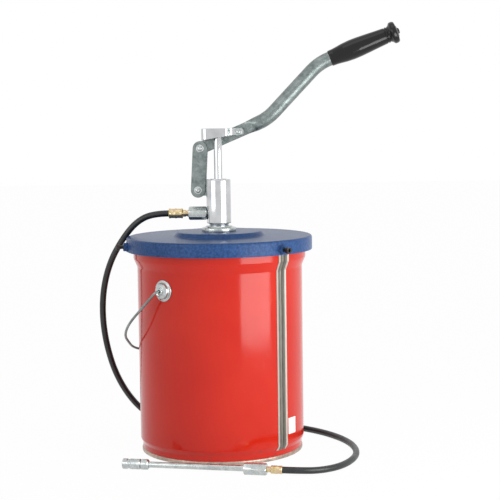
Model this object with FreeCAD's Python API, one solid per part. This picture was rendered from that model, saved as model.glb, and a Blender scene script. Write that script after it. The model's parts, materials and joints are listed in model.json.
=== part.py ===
import FreeCAD, Part
import math
import os

# Hand lever gear oil pump on an 18 litre pail. Millimetres.
# X runs to the handle side, Y away from the front, Z up.
# The origin is the centre of the pail's base, on the surface it stands on.

V = FreeCAD.Vector
X_AXIS = V(1, 0, 0)
Y_AXIS = V(0, 1, 0)
Z_AXIS = V(0, 0, 1)

# clearances
SEAT_GAP = 0.1      # between curved faces of pieces that stay together
RUN_GAP = 0.06      # radial, for pins, screws and the rod
SIDE_GAP = 0.3      # between flat faces that slide past each other

# pail
PAIL_R = 135.0
SHEET = 1.2
FLARE_R = 141.0     # the wider band under the lid
FLARE_LOW = 304.0
FLARE_HIGH = 318.0
STEP_R = 131.5      # the narrower foot of the pail
STEP_LOW = 15.0
STEP_HIGH = 22.0
CHIME_H = 6.6
CHIME_OUT = 1.2     # how far the chime stands out from the foot
CHIME_WIDE = 5.0
FLOOR_Z = 3.0       # underside of the pail's floor
BEAD_R = 3.0        # curl round the pail's mouth
BEAD_Z = 345.2
SEAM_WIDE = 22.0
SEAM_THICK = 0.7
SEAM_AZ = 50.5      # azimuths are turned from the front (-Y) towards +X
LABEL_AZ = 61.0
LABEL_WIDE = 21.0
LABEL_HIGH = 26.0
LABEL_Z = 51.0
LABEL_THICK = 0.4

# bail and its ears
EAR_AZ = -36.5
EAR_Z = 275.0
EAR_R = 17.0
EAR_FLANGE = 2.0
DOME_R = 13.0
DOME_H = 9.0
WIRE_R = 2.0
BAIL_ARM = 152.5    # from the middle to each arm
BAIL_SHOULDER = 108.0
BAIL_TOP = 60.0     # half length of the straight crown
BAIL_REACH = 183.5
BAIL_DROOP = 41.0   # how far the bail hangs below level
BAIL_BENDS = (6.0, 95.0, 130.0)

# lid
LID_R = 152.0
LID_SHEET = 1.6
LID_TOP = 353.0
SKIRT_H = 23.0
LID_CORNER = 6.0
DISH_R = 69.0
DISH_TOP = 360.0
DISH_SLOPE = 6.0
GASKET_WIDE = 11.0

# clamp screws in the lid's skirt
SCREW_AZ = (44.5, -75.5, 164.5)
SCREW_R = 3.0
SCREW_Z = 338.3
SCREW_HEAD_R = 5.0
SCREW_HEAD_H = 6.0
SCREW_SOCKET = 5.0
NUT_AF = 13.0
NUT_H = 6.0
SCREW_TRAVEL = 5.0

# pump body and its fixing in the lid
BODY_R = 20.0
BODY_TOP = 445.0
BODY_LOW = 373.0
NECK_R = 16.0
FLANGE_R = 28.0
FLANGE_H = 6.0
BACKING_AF = 44.0
BACKING_H = 10.0
SEAL_THICK = 1.5
ROD_R = 6.5
ANNULUS_R = 10.0
GLAND_R = 13.0
GLAND_H = 10.0
PACKING_H = 8.0

# barrel, foot valve and strainer
BARREL_R = 13.0
BARREL_WALL = 1.5
BARREL_LOW = 34.0
FOOT_R = 15.5
FOOT_LOW = 16.0
FOOT_HIGH = 46.0
FOOT_BALL_R = 7.0
FOOT_SEAT_R = 5.0
FOOT_SEAT_Z = 24.0
STOP_Z = 38.0
STOP_H = 3.0
STRAINER_FOOT = 8.0

# piston
PISTON_LOW = 296.0
PISTON_H = 30.0
PISTON_R = 11.0
PISTON_BALL_R = 5.0
PISTON_SEAT_R = 3.5
PISTON_SEAT_H = 9.0
PISTON_SEAL_H = 4.0
ROD_TIP_R = 5.0
ROD_TIP_H = 9.0

# stirrup on top of the rod
STRAP = 3.0
STIRRUP_LOW = 508.0
STIRRUP_H = 19.5
STIRRUP_LEFT = -27.0
STIRRUP_JOG = 14.0  # where the front arm turns back to the ears
JOG_END = 22.0
EAR_END = 42.0
PIN_R = 4.0
PIN_HEAD_R = 6.5
PIN_HEAD_H = 2.0
WASHER_R = 9.5

# lever and links, in a plane behind the rod
LEVER_THICK = 8.0
LEVER_HIGH = 20.0
LEVER_TUBE_R = 11.5
LEVER_WALL = 2.5
PLATE = 3.0
LINK_WIDE = 24.0
P_X, P_Z = 33.0, 521.6          # lever to stirrup
T_X, T_Z = -30.4, 495.0         # lever to links
L_X, L_Z = -34.5, 426.3         # links to the lug
SLOT_PLAY_LONG = 4.2            # the open pivot's room along and across the lever
SLOT_PLAY_HIGH = 1.7
FLAT_END = 13.0                 # the flat part runs this far past the stirrup pin
SWELL = 14.0                    # length over which it swells to the tube
LOWER_BEND = (81.7, 542.6)
UPPER_BEND = 19.4               # from the upper bend to the grip, along the grip's axis
LEVER_RADII = (80.0, 84.0)
GRIP_START = (183.7, 638.0)
GRIP_LONG = 119.0
GRIP_ANGLE = 21.2
GRIP_CAP = 12.0     # solid end of the grip beyond the tube

# outlet and hose
OUTLET_Z = 389.5
HEX_OUTLET = 19.0
HEX_OUTLET_LONG = 29.0
BORE_R = 2.5
NIPPLE_R = 5.6
NIPPLE_LONG = 10.0
FERRULE_R = 8.2
FERRULE_LONG = 23.0
HOSE_R = 5.2

# lance lying on the floor
LANCE_END = V(107.0, -189.0, 8.5)
LANCE_DIR = V(249.0, -39.0, 0.0)
LANCE_FERRULE_R = 6.4
LANCE_FERRULE_LONG = 18.0
LANCE_NIPPLE_R = 4.4
LANCE_NIPPLE_LONG = 6.5
LANCE_HEX = 17.0
LANCE_HEX_LONG = 35.5
LANCE_TUBE_R = 4.7
LANCE_TUBE_LONG = 152.0
COUPLER_R = 8.2
COUPLER_LONG = 42.0
SLEEVE_LONG = 26.0
MOUTH_R = 5.0
MOUTH_DEEP = 12.0

# where the free hose lies, between a short straight lead out of each ferrule
HOSE_LEAD = 27.0
HOSE_POINTS = [
    (-137, 3, 376), (-161, 8, 348), (-184, 15, 309), (-198, 24, 262),
    (-202, 34, 212), (-198, 47, 163), (-188, 65, 115), (-171, 88, 72), (-147, 112, 36),
    (-113, 134, 12), (-70, 150, 5.3), (-16, 159, 5.3), (42, 155, 5.3), (98, 136, 5.3),
    (146, 104, 5.3), (183, 62, 5.3), (209, 14, 5.3), (221, -36, 5.3), (221, -82, 5.3),
    (210, -124, 5.3), (191, -158, 5.3), (163, -184, 6.6),
]


def face_of(points):
    wire = Part.makePolygon(points + [points[0]])
    return Part.Face(wire)


def revolve(profile, turn=360.0):
    """A closed outline of (radius, height) turned about Z."""
    face = face_of([V(r, 0, z) for r, z in profile])
    return face.revolve(V(0, 0, 0), Z_AXIS, turn)


def cyl(radius, low, high):
    return Part.makeCylinder(radius, high - low, V(0, 0, low))


def ring(outer, inner, low, high):
    return cyl(outer, low, high).cut(cyl(inner, low - 1, high + 1))


def hex_bar(flats, low, high):
    corner = flats / math.sqrt(3)
    turns = [math.radians(60 * i) for i in range(6)]
    face = face_of([V(corner * math.cos(a), corner * math.sin(a), low) for a in turns])
    return face.extrude(V(0, 0, high - low))


def lay(shape, start, direction, roll=0.0):
    """Puts a shape made along +Z at start, pointing in any direction but straight up."""
    side = Z_AXIS.cross(direction)
    turn = FreeCAD.Rotation(side, direction.cross(side), direction, "ZXY")
    spin = FreeCAD.Rotation(Z_AXIS, roll)
    shape.Placement = FreeCAD.Placement(start, turn.multiply(spin))
    return shape


def outward(azimuth):
    a = math.radians(azimuth)
    return V(math.sin(a), -math.cos(a), 0)


def pin_along_y(radius, x, z, front, back):
    return Part.makeCylinder(radius, back - front, V(x, front, z), Y_AXIS)


def rounded_path(points, radii):
    """Straight runs joined by tangent arcs, one radius for each inner point."""
    edges = []
    at = points[0]
    for i, radius in enumerate(radii):
        corner = points[i + 1]
        back = (points[i] - corner).normalize()
        ahead = (points[i + 2] - corner).normalize()
        half_turn = (math.pi - back.getAngle(ahead)) / 2
        setback = radius * math.tan(half_turn)
        middle = (back + ahead).normalize()
        first = corner + back * setback
        last = corner + ahead * setback
        deep = corner + middle * (radius / math.cos(half_turn) - radius)
        edges.append(Part.LineSegment(at, first).toShape())
        edges.append(Part.Arc(first, deep, last).toShape())
        at = last
    edges.append(Part.LineSegment(at, points[-1]).toShape())
    return Part.Wire(edges)


def sweep(path, radius):
    start = path.Edges[0].valueAt(path.Edges[0].FirstParameter)
    direction = path.Edges[0].tangentAt(path.Edges[0].FirstParameter)
    section = Part.Wire(Part.makeCircle(radius, start, direction))
    return path.makePipeShell([section], True, False)


def wall_line(offset):
    """The pail's wall from its foot to its mouth, offset outwards."""
    return [
        (STEP_R + offset, CHIME_H),
        (STEP_R + offset, STEP_LOW),
        (PAIL_R + offset, STEP_HIGH),
        (PAIL_R + offset, FLARE_LOW),
        (FLARE_R + offset, FLARE_HIGH),
    ]


def make_pail_shell():
    top = (FLARE_R, BEAD_Z)
    inner_top = (FLARE_R - SHEET, BEAD_Z)
    outline = wall_line(0) + [top, inner_top] + wall_line(-SHEET)[::-1]
    bead = Part.makeTorus(FLARE_R + BEAD_R - SHEET, BEAD_R, V(0, 0, BEAD_Z))
    return revolve(outline).fuse(bead)


def make_pail_bottom():
    outer = STEP_R + CHIME_OUT
    rim = ring(outer, outer - CHIME_WIDE, 0, CHIME_H)
    return rim.fuse(cyl(outer - CHIME_WIDE + 0.5, FLOOR_Z, FLOOR_Z + SHEET))


def make_side_seam():
    inner = wall_line(SEAT_GAP)[1:]
    outer = wall_line(SEAT_GAP + SEAM_THICK)[1:]
    lift = (FLARE_R + SEAT_GAP, LID_TOP - SKIRT_H - 1)
    lift_out = (FLARE_R + SEAT_GAP + SEAM_THICK, lift[1])
    turn = math.degrees(SEAM_WIDE / PAIL_R)
    strip = revolve(inner + [lift, lift_out] + outer[::-1], turn)
    strip.rotate(V(0, 0, 0), Z_AXIS, SEAM_AZ - 90 - turn / 2)
    return strip


def make_blank_label():
    low = LABEL_Z - LABEL_HIGH / 2
    inner = PAIL_R + SEAT_GAP
    outline = [(inner, low), (inner + LABEL_THICK, low),
               (inner + LABEL_THICK, low + LABEL_HIGH), (inner, low + LABEL_HIGH)]
    turn = math.degrees(LABEL_WIDE / PAIL_R)
    label = revolve(outline, turn)
    label.rotate(V(0, 0, 0), Z_AXIS, LABEL_AZ - 90 - turn / 2)
    return label


def make_bail_ears():
    ears = []
    wall = cyl(PAIL_R + SEAT_GAP, EAR_Z - 2 * EAR_R, EAR_Z + 2 * EAR_R)
    rise = EAR_FLANGE + DOME_H
    profile = [(0, -4), (EAR_R, -4), (EAR_R, EAR_FLANGE), (DOME_R, EAR_FLANGE),
               (DOME_R - 1, EAR_FLANGE + 0.5 * DOME_H),
               (DOME_R - 4.5, EAR_FLANGE + 0.85 * DOME_H), (DOME_R - 8.5, rise), (0, rise)]
    hollow = cyl(2 * WIRE_R + 0.5, -5, EAR_FLANGE + 0.55 * DOME_H)
    hole = cyl(WIRE_R + RUN_GAP, -5, rise + 1)
    for side in (0, 180):
        ear = revolve(profile).cut(hollow).cut(hole)
        out = outward(EAR_AZ + side)
        ear = lay(ear, out * PAIL_R + V(0, 0, EAR_Z), out)
        ears.append(ear.cut(wall))
    return Part.makeCompound(ears)


def make_bail_wire():
    axis = outward(EAR_AZ + 180)
    level = V(-axis.y, axis.x, 0)
    droop = math.radians(BAIL_DROOP)
    reach = level * math.cos(droop) - Z_AXIS * math.sin(droop)
    centre = V(0, 0, EAR_Z)
    tip = PAIL_R + 3.0
    half = [(tip, 0), (BAIL_ARM, 0), (BAIL_ARM - 4, BAIL_SHOULDER), (BAIL_TOP, BAIL_REACH)]
    flat = half + [(-u, v) for u, v in half[::-1]]
    points = [centre + axis * u + reach * v for u, v in flat]
    wire = sweep(rounded_path(points, BAIL_BENDS + BAIL_BENDS[::-1]), WIRE_R)
    for side in (1, -1):
        head = Part.makeCylinder(2 * WIRE_R, 2, centre + axis * (side * tip), axis * side)
        wire = wire.fuse(head)
    return wire


def make_lid():
    inner = LID_R - LID_SHEET
    low = LID_TOP - SKIRT_H
    corner = LID_CORNER
    outline = [(inner, low), (LID_R, low), (LID_R, LID_TOP - corner),
               (LID_R - 0.3 * corner, LID_TOP - 0.3 * corner), (LID_R - corner, LID_TOP),
               (DISH_R + DISH_SLOPE, LID_TOP), (DISH_R, DISH_TOP), (NECK_R + 0.5, DISH_TOP),
               (NECK_R + 0.5, DISH_TOP - LID_SHEET), (DISH_R - 0.6, DISH_TOP - LID_SHEET),
               (DISH_R + DISH_SLOPE - 0.6, LID_TOP - LID_SHEET),
               (LID_R - corner, LID_TOP - LID_SHEET), (inner, LID_TOP - corner)]
    lid = revolve(outline)
    for azimuth in SCREW_AZ:
        out = outward(azimuth)
        hole = Part.makeCylinder(SCREW_R + 0.5, 20, out * (LID_R - 10) + V(0, 0, SCREW_Z), out)
        lid = lid.cut(hole)
    return lid


def make_lid_gasket():
    middle = FLARE_R + BEAD_R - SHEET
    low = BEAD_Z + BEAD_R + SEAT_GAP
    return ring(middle + GASKET_WIDE / 2 - 3, middle - GASKET_WIDE / 2, low, LID_TOP - LID_SHEET)


def make_clamp_nuts():
    nuts = []
    wall = cyl(LID_R + SEAT_GAP, SCREW_Z - NUT_AF, SCREW_Z + NUT_AF)
    for azimuth in SCREW_AZ:
        nut = hex_bar(NUT_AF, -2, NUT_H).cut(cyl(SCREW_R + RUN_GAP, -3, NUT_H + 1))
        nut = lay(nut, outward(azimuth) * LID_R + V(0, 0, SCREW_Z), outward(azimuth))
        nuts.append(nut.cut(wall))
    return Part.makeCompound(nuts)


def make_clamp_screw(azimuth):
    tip = FLARE_R + 0.3
    head = LID_R + NUT_H + SCREW_TRAVEL + 1.0
    screw = cyl(SCREW_R, tip, head).fuse(cyl(SCREW_HEAD_R, head, head + SCREW_HEAD_H))
    screw = screw.cut(hex_bar(SCREW_SOCKET, head + SCREW_HEAD_H / 2, head + SCREW_HEAD_H + 1))
    return lay(screw, V(0, 0, SCREW_Z), outward(azimuth))


def make_flange_nut():
    low = DISH_TOP + SEAT_GAP
    body = cyl(FLANGE_R, low, low + FLANGE_H).fuse(cyl(FLANGE_R - 6, low + FLANGE_H, low + FLANGE_H + 2.5))
    return body.cut(cyl(NECK_R + SEAT_GAP, low - 1, low + FLANGE_H + 4))


def make_flange_gasket():
    high = DISH_TOP - LID_SHEET - SEAT_GAP
    return ring(FLANGE_R - 4, NECK_R + SEAT_GAP, high - SEAL_THICK, high)


def make_backing_nut():
    high = DISH_TOP - LID_SHEET - 2 * SEAT_GAP - SEAL_THICK
    nut = hex_bar(BACKING_AF, high - BACKING_H, high)
    return nut.cut(cyl(NECK_R + SEAT_GAP, high - BACKING_H - 1, high + 1))


def make_pump_body():
    neck_low = DISH_TOP - LID_SHEET - SEAL_THICK - BACKING_H - 3
    outline = [(0, neck_low), (NECK_R, neck_low), (NECK_R, BODY_LOW), (BODY_R - 2, BODY_LOW),
               (BODY_R, BODY_LOW + 2), (BODY_R, BODY_TOP - 2), (BODY_R - 2, BODY_TOP), (0, BODY_TOP)]
    body = revolve(outline)
    body = body.cut(cyl(BARREL_R + SEAT_GAP, neck_low - 1, BODY_LOW + 4))
    body = body.cut(cyl(ANNULUS_R, neck_low, BODY_TOP + 1))
    body = body.cut(cyl(GLAND_R + SEAT_GAP, BODY_TOP - GLAND_H, BODY_TOP + 1))
    port = Part.makeCylinder(HEX_OUTLET / 3 + SEAT_GAP, 2 * BODY_R, V(0, 0, OUTLET_Z), -X_AXIS)
    return body.cut(port)


def make_gland_nut():
    return ring(GLAND_R, ROD_R + RUN_GAP, BODY_TOP - GLAND_H + SEAT_GAP, BODY_TOP + 0.8)


def make_rod_packing():
    high = BODY_TOP - GLAND_H
    return ring(ANNULUS_R - SEAT_GAP, ROD_R + RUN_GAP, high - PACKING_H, high)


def lever_front():
    return ROD_R + SIDE_GAP + STRAP + SIDE_GAP + PLATE + SIDE_GAP


def make_fulcrum_lug():
    front = lever_front()
    back = front + LEVER_THICK
    plate = Part.makeBox(-L_X - 4, LEVER_THICK, 18, V(L_X, front, L_Z - 9))
    lug = plate.fuse(pin_along_y(9, L_X, L_Z, front, back))
    lug = lug.cut(cyl(BODY_R + SEAT_GAP, L_Z - 20, L_Z + 20))
    return lug.cut(pin_along_y(PIN_R + RUN_GAP, L_X, L_Z, front - 1, back + 1))


def make_barrel_tube():
    return ring(BARREL_R, BARREL_R - BARREL_WALL, BARREL_LOW, BODY_LOW + 3)


def ball_rest(seat_z, seat_r, ball_r):
    """Centre height of a ball that rests on the edge of a round seat."""
    return seat_z + math.sqrt(ball_r ** 2 - seat_r ** 2) + 0.05


def make_foot_valve_body():
    body = cyl(FOOT_R, FOOT_LOW, FOOT_HIGH)
    body = body.cut(cyl(BARREL_R + SEAT_GAP, BARREL_LOW - SEAT_GAP, FOOT_HIGH + 1))
    body = body.cut(cyl(FOOT_BALL_R + 2, FOOT_SEAT_Z, BARREL_LOW))
    return body.cut(cyl(FOOT_SEAT_R, FOOT_LOW - 1, FOOT_SEAT_Z + 1))


def make_foot_valve_stop():
    """A cross disc in the barrel's foot that keeps the ball in its cage."""
    disc = cyl(BARREL_R - BARREL_WALL - SEAT_GAP, STOP_Z, STOP_Z + STOP_H)
    for turn in (0, 90, 180, 270):
        out = outward(turn + 45)
        disc = disc.cut(Part.makeCylinder(3.0, STOP_H + 2, out * 6.5 + V(0, 0, STOP_Z - 1)))
    return disc


def make_ball(seat_z, seat_r, ball_r):
    return Part.makeSphere(ball_r, V(0, 0, ball_rest(seat_z, seat_r, ball_r)))


def make_strainer():
    inner = FOOT_R - 2
    low = STRAINER_FOOT
    cup = cyl(FOOT_R, low, FOOT_LOW - SEAT_GAP).cut(cyl(inner, low + 1.5, FOOT_LOW))
    for turn in range(0, 360, 45):
        out = outward(turn)
        slot = Part.makeBox(4, 4, 8, V(-2, -2, -4))
        cup = cup.cut(lay(slot, out * FOOT_R + V(0, 0, low + 4.5), out))
    for turn in range(0, 360, 60):
        cup = cup.cut(Part.makeCylinder(2, 3, outward(turn) * 7 + V(0, 0, low - 1)))
    return cup


def make_piston_rod():
    rod = cyl(ROD_R, PISTON_LOW + PISTON_H + SEAT_GAP, STIRRUP_LOW + STIRRUP_H - 2)
    tip = cyl(ROD_TIP_R, PISTON_LOW + PISTON_H - ROD_TIP_H, PISTON_LOW + PISTON_H + 1)
    return rod.fuse(tip)


def make_piston():
    top = PISTON_LOW + PISTON_H
    seat = PISTON_LOW + PISTON_SEAT_H
    body = cyl(PISTON_R, PISTON_LOW, top)
    body = body.cut(cyl(PISTON_SEAT_R, PISTON_LOW - 1, seat + 1))
    body = body.cut(cyl(PISTON_BALL_R + 1, seat, top - ROD_TIP_H - SEAT_GAP))
    body = body.cut(cyl(ROD_TIP_R + SEAT_GAP, top - ROD_TIP_H - 1, top + 1))
    for turn in (0, 90):
        port = Part.makeCylinder(2.5, 4 * PISTON_R, outward(turn) * (-2 * PISTON_R), outward(turn))
        body = body.cut(port.translated(V(0, 0, top - ROD_TIP_H - 3)))
    groove = ring(PISTON_R + 1, PISTON_R - 2, PISTON_LOW + 3, PISTON_LOW + 3 + PISTON_SEAL_H)
    return body.cut(groove)


def make_piston_seal():
    low = PISTON_LOW + 3 + SEAT_GAP
    outer = BARREL_R - BARREL_WALL - RUN_GAP
    return ring(outer, PISTON_R - 2 + SEAT_GAP, low, low + PISTON_SEAL_H - 2 * SEAT_GAP)


def make_stirrup():
    """A strap folded round the rod, its two ends side by side as ears for the pin."""
    inner_y = ROD_R + SIDE_GAP
    outer_y = inner_y + STRAP
    turn_x = STIRRUP_LEFT + outer_y
    low = STIRRUP_LOW
    depth = 2 * outer_y
    top = STIRRUP_LOW + STIRRUP_H
    ear_r = top - P_Z
    loop = Part.makeBox(STIRRUP_JOG - turn_x, depth, STIRRUP_H, V(turn_x, -outer_y, low))
    loop = loop.fuse(cyl(outer_y, low, low + STIRRUP_H).translated(V(turn_x, 0, 0)))
    jog = [V(STIRRUP_JOG, -outer_y, low), V(STIRRUP_JOG, outer_y, low), V(JOG_END, outer_y, low),
           V(JOG_END, inner_y - STRAP, low)]
    loop = loop.fuse(face_of(jog).extrude(V(0, 0, STIRRUP_H)))
    room = Part.makeBox(STIRRUP_JOG - turn_x, 2 * inner_y, STIRRUP_H, V(turn_x, -inner_y, low))
    room = room.fuse(cyl(inner_y, low, low + STIRRUP_H).translated(V(turn_x, 0, 0)))
    inner_jog = [V(STIRRUP_JOG, -inner_y, low), V(STIRRUP_JOG, inner_y, low),
                 V(JOG_END - 1.5, inner_y, low)]
    room = room.fuse(face_of(inner_jog).extrude(V(0, 0, STIRRUP_H)))
    loop = loop.cut(room)
    tip_x = EAR_END - ear_r
    ears = Part.makeBox(tip_x - JOG_END, 2 * STRAP, 2 * ear_r, V(JOG_END, inner_y - STRAP, P_Z - ear_r))
    ears = ears.fuse(pin_along_y(ear_r, tip_x, P_Z, inner_y - STRAP, outer_y))
    stirrup = loop.fuse(ears).removeSplitter()
    weld = Part.makeBox(2 * ROD_R, 2 * inner_y, STIRRUP_H - 4, V(-ROD_R, -inner_y, low + 2))
    weld = weld.cut(cyl(ROD_R + SEAT_GAP, low - 1, low + STIRRUP_H + 1))
    below = [V(STIRRUP_LEFT, -outer_y - 1, low), V(JOG_END, -outer_y - 1, low - 1),
             V(JOG_END, -outer_y - 1, P_Z - ear_r)]
    taper = face_of(below).extrude(V(0, depth + 2, 0))
    stirrup = stirrup.fuse(weld).cut(taper)
    return stirrup.cut(pin_along_y(PIN_R + SEAT_GAP, P_X, P_Z, inner_y - STRAP - 1, outer_y + 1))


def make_stirrup_pin():
    front = ROD_R + SIDE_GAP - STRAP
    back = lever_front() + LEVER_THICK + SIDE_GAP + PIN_HEAD_H
    head_front = pin_along_y(PIN_HEAD_R, P_X, P_Z, front - PIN_HEAD_H, front - SEAT_GAP)
    shank = pin_along_y(PIN_R, P_X, P_Z, front - SEAT_GAP - 0.5, back - 0.5)
    washer = pin_along_y(WASHER_R, P_X, P_Z, back - PIN_HEAD_H, back)
    return head_front.fuse(shank).fuse(washer)


def make_stirrup_spacer():
    front = ROD_R + SIDE_GAP + STRAP + SEAT_GAP / 2
    back = lever_front() - SIDE_GAP
    spacer = pin_along_y(WASHER_R, P_X, P_Z, front, back)
    return spacer.cut(pin_along_y(PIN_R + RUN_GAP, P_X, P_Z, front - 1, back + 1))


def make_link_plate(front):
    top = V(T_X, front, T_Z)
    foot = V(L_X, front, L_Z)
    along = (top - foot).normalize()
    across = V(along.z, 0, -along.x) * (LINK_WIDE / 2)
    plate = face_of([foot - across, foot + across, top + across, top - across])
    plate = plate.extrude(V(0, PLATE, 0))
    for end in (top, foot):
        plate = plate.fuse(Part.makeCylinder(LINK_WIDE / 2, PLATE, end, Y_AXIS))
    plate = plate.removeSplitter()
    for end in (top, foot):
        plate = plate.cut(pin_along_y(PIN_R + SEAT_GAP, end.x, end.z, front - 1, front + PLATE + 1))
    return plate


def make_link_pin(x, z):
    front = lever_front() - SIDE_GAP - PLATE
    back = lever_front() + LEVER_THICK + SIDE_GAP + PLATE
    pin = pin_along_y(PIN_R, x, z, front - PIN_HEAD_H, back + PIN_HEAD_H)
    pin = pin.fuse(pin_along_y(PIN_HEAD_R, x, z, front - PIN_HEAD_H, front - SEAT_GAP))
    return pin.fuse(pin_along_y(PIN_HEAD_R, x, z, back + SEAT_GAP, back + PIN_HEAD_H))


def press_flat(tube, start, along, across):
    """Narrows the tube's first stretch down to the size of the flat bar at its start."""
    reach = 1.5 * SWELL
    wide = 2 * LEVER_TUBE_R
    small = LEVER_HIGH / 2
    grown = small + 1.5 * (LEVER_TUBE_R - small)
    cone = Part.makeCone(small, grown, reach, start, along)
    tube = tube.cut(Part.makeCylinder(wide, reach, start, along).cut(cone))
    thin = LEVER_THICK / 2
    thick = thin + 1.5 * (LEVER_TUBE_R + 1 - thin)
    for side in (-1, 1):
        wedge = face_of([start + V(0, side * thin, 0), start + V(0, side * wide, 0),
                         start + along * reach + V(0, side * wide, 0),
                         start + along * reach + V(0, side * thick, 0)])
        tube = tube.cut(wedge.extrude(across * (2 * wide)).translated(across * -wide))
    return tube


def make_lever_bar():
    """A tube whose lower end is pressed flat where it carries the two pins."""
    front = lever_front()
    middle = front + LEVER_THICK / 2
    top_pin = V(T_X, middle, T_Z)
    stirrup_pin = V(P_X, middle, P_Z)
    along = (stirrup_pin - top_pin).normalize()
    across = V(-along.z, 0, along.x)
    half = across * (LEVER_HIGH / 2)
    flat_end = stirrup_pin + along * FLAT_END
    back_off = V(0, -LEVER_THICK / 2, 0)
    corners = [top_pin - half, flat_end - half, flat_end + half, top_pin + half]
    flat = face_of([c + back_off for c in corners]).extrude(V(0, LEVER_THICK, 0))
    flat = flat.fuse(pin_along_y(LEVER_HIGH / 2, T_X, T_Z, front, front + LEVER_THICK))
    lift = math.radians(GRIP_ANGLE)
    grip_dir = V(math.cos(lift), 0, math.sin(lift))
    grip_start = V(GRIP_START[0], middle, GRIP_START[1])
    end = grip_start + grip_dir * (GRIP_LONG - GRIP_CAP)
    bends = [V(LOWER_BEND[0], middle, LOWER_BEND[1]), grip_start - grip_dir * UPPER_BEND]
    path = rounded_path([flat_end] + bends + [end], LEVER_RADII)
    hollow = rounded_path([flat_end + along * SWELL] + bends + [end], LEVER_RADII)
    tube = press_flat(sweep(path, LEVER_TUBE_R), flat_end, along, across)
    lever = flat.fuse(tube).removeSplitter().cut(sweep(hollow, LEVER_TUBE_R - LEVER_WALL))
    slot_long = SLOT_PLAY_LONG + PIN_R
    slot_half = across * (SLOT_PLAY_HIGH + PIN_R)
    mouth = slot_half.Length
    ends = [top_pin - along * (slot_long - mouth), top_pin + along * (slot_long - mouth)]
    if slot_long > mouth:
        slot = face_of([ends[0] - slot_half, ends[1] - slot_half, ends[1] + slot_half, ends[0] + slot_half])
        slot = slot.extrude(V(0, 2 * LEVER_THICK, 0)).translated(V(0, -LEVER_THICK, 0))
        for end in ends:
            slot = slot.fuse(pin_along_y(mouth, end.x, end.z, front - 4, front + LEVER_THICK + 4))
        lever = lever.cut(slot)
    return lever.cut(pin_along_y(PIN_R + RUN_GAP, P_X, P_Z, front - 1, front + LEVER_THICK + 1))


def make_lever_grip():
    length = GRIP_LONG
    profile = [(0, 0), (12.8, 0), (13.2, 1.5), (13.4, 8), (15.4, 22), (16.2, 38), (15.8, 54),
               (14.4, 76), (13.2, 94), (13.1, 99), (12.5, 100), (12.5, 101.5), (13.3, 102.5),
               (13.3, 105), (17.6, 108), (18, 110), (18, 113), (15.5, 116), (9, length - 1.5),
               (4.5, length - 1.0), (4.5, length + 1.5), (0, length + 1.5)]
    grip = revolve(profile)
    grip = grip.cut(cyl(LEVER_TUBE_R + SEAT_GAP, -1, length - GRIP_CAP + SEAT_GAP))
    lift = math.radians(GRIP_ANGLE)
    middle = lever_front() + LEVER_THICK / 2
    return lay(grip, V(GRIP_START[0], middle, GRIP_START[1]), V(math.cos(lift), 0, math.sin(lift)))


def outlet(shape, start):
    """Lays a shape made along +Z on the outlet's line, start mm from the pump's axis."""
    return lay(shape, V(-start, 0, OUTLET_Z), -X_AXIS, 30)


def make_outlet_adaptor():
    body = hex_bar(HEX_OUTLET, 0, HEX_OUTLET_LONG)
    spigot = cyl(HEX_OUTLET / 3, -(BODY_R - ANNULUS_R), 0.5)
    body = outlet(body.fuse(spigot), BODY_R + SEAT_GAP)
    bore = outlet(cyl(BORE_R, -BODY_R, HEX_OUTLET_LONG + 1), BODY_R)
    body = body.cut(bore)
    inside = cyl(ANNULUS_R + SEAT_GAP, OUTLET_Z - BODY_R, OUTLET_Z + BODY_R)
    return body.cut(inside)


def make_outlet_nipple():
    start = BODY_R + SEAT_GAP + HEX_OUTLET_LONG
    return outlet(ring(NIPPLE_R, BORE_R, 0, NIPPLE_LONG), start)


def ferrule(outer, length):
    """A crimped ferrule: grooves round it, bored for the fitting's tail."""
    profile = [(BORE_R, 0), (outer - 1, 0), (outer, 1)]
    grooves = 3
    pitch = (length - 4) / grooves
    for i in range(grooves):
        at = 2 + pitch * (i + 0.5)
        profile += [(outer, at - pitch * 0.3), (outer - 0.8, at - pitch * 0.1),
                    (outer - 0.8, at + pitch * 0.1), (outer, at + pitch * 0.3)]
    profile += [(outer, length - 1), (outer - 1, length), (BORE_R, length)]
    return revolve(profile)


def make_outlet_ferrule():
    start = BODY_R + SEAT_GAP + HEX_OUTLET_LONG + NIPPLE_LONG
    return outlet(ferrule(FERRULE_R, FERRULE_LONG), start)


def lance_dir():
    return V(LANCE_DIR).normalize()


def lance(shape, start):
    """Lays a shape made along +Z on the lance's line, back from the hose end."""
    return lay(shape, LANCE_END - lance_dir() * start, -lance_dir())


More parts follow.
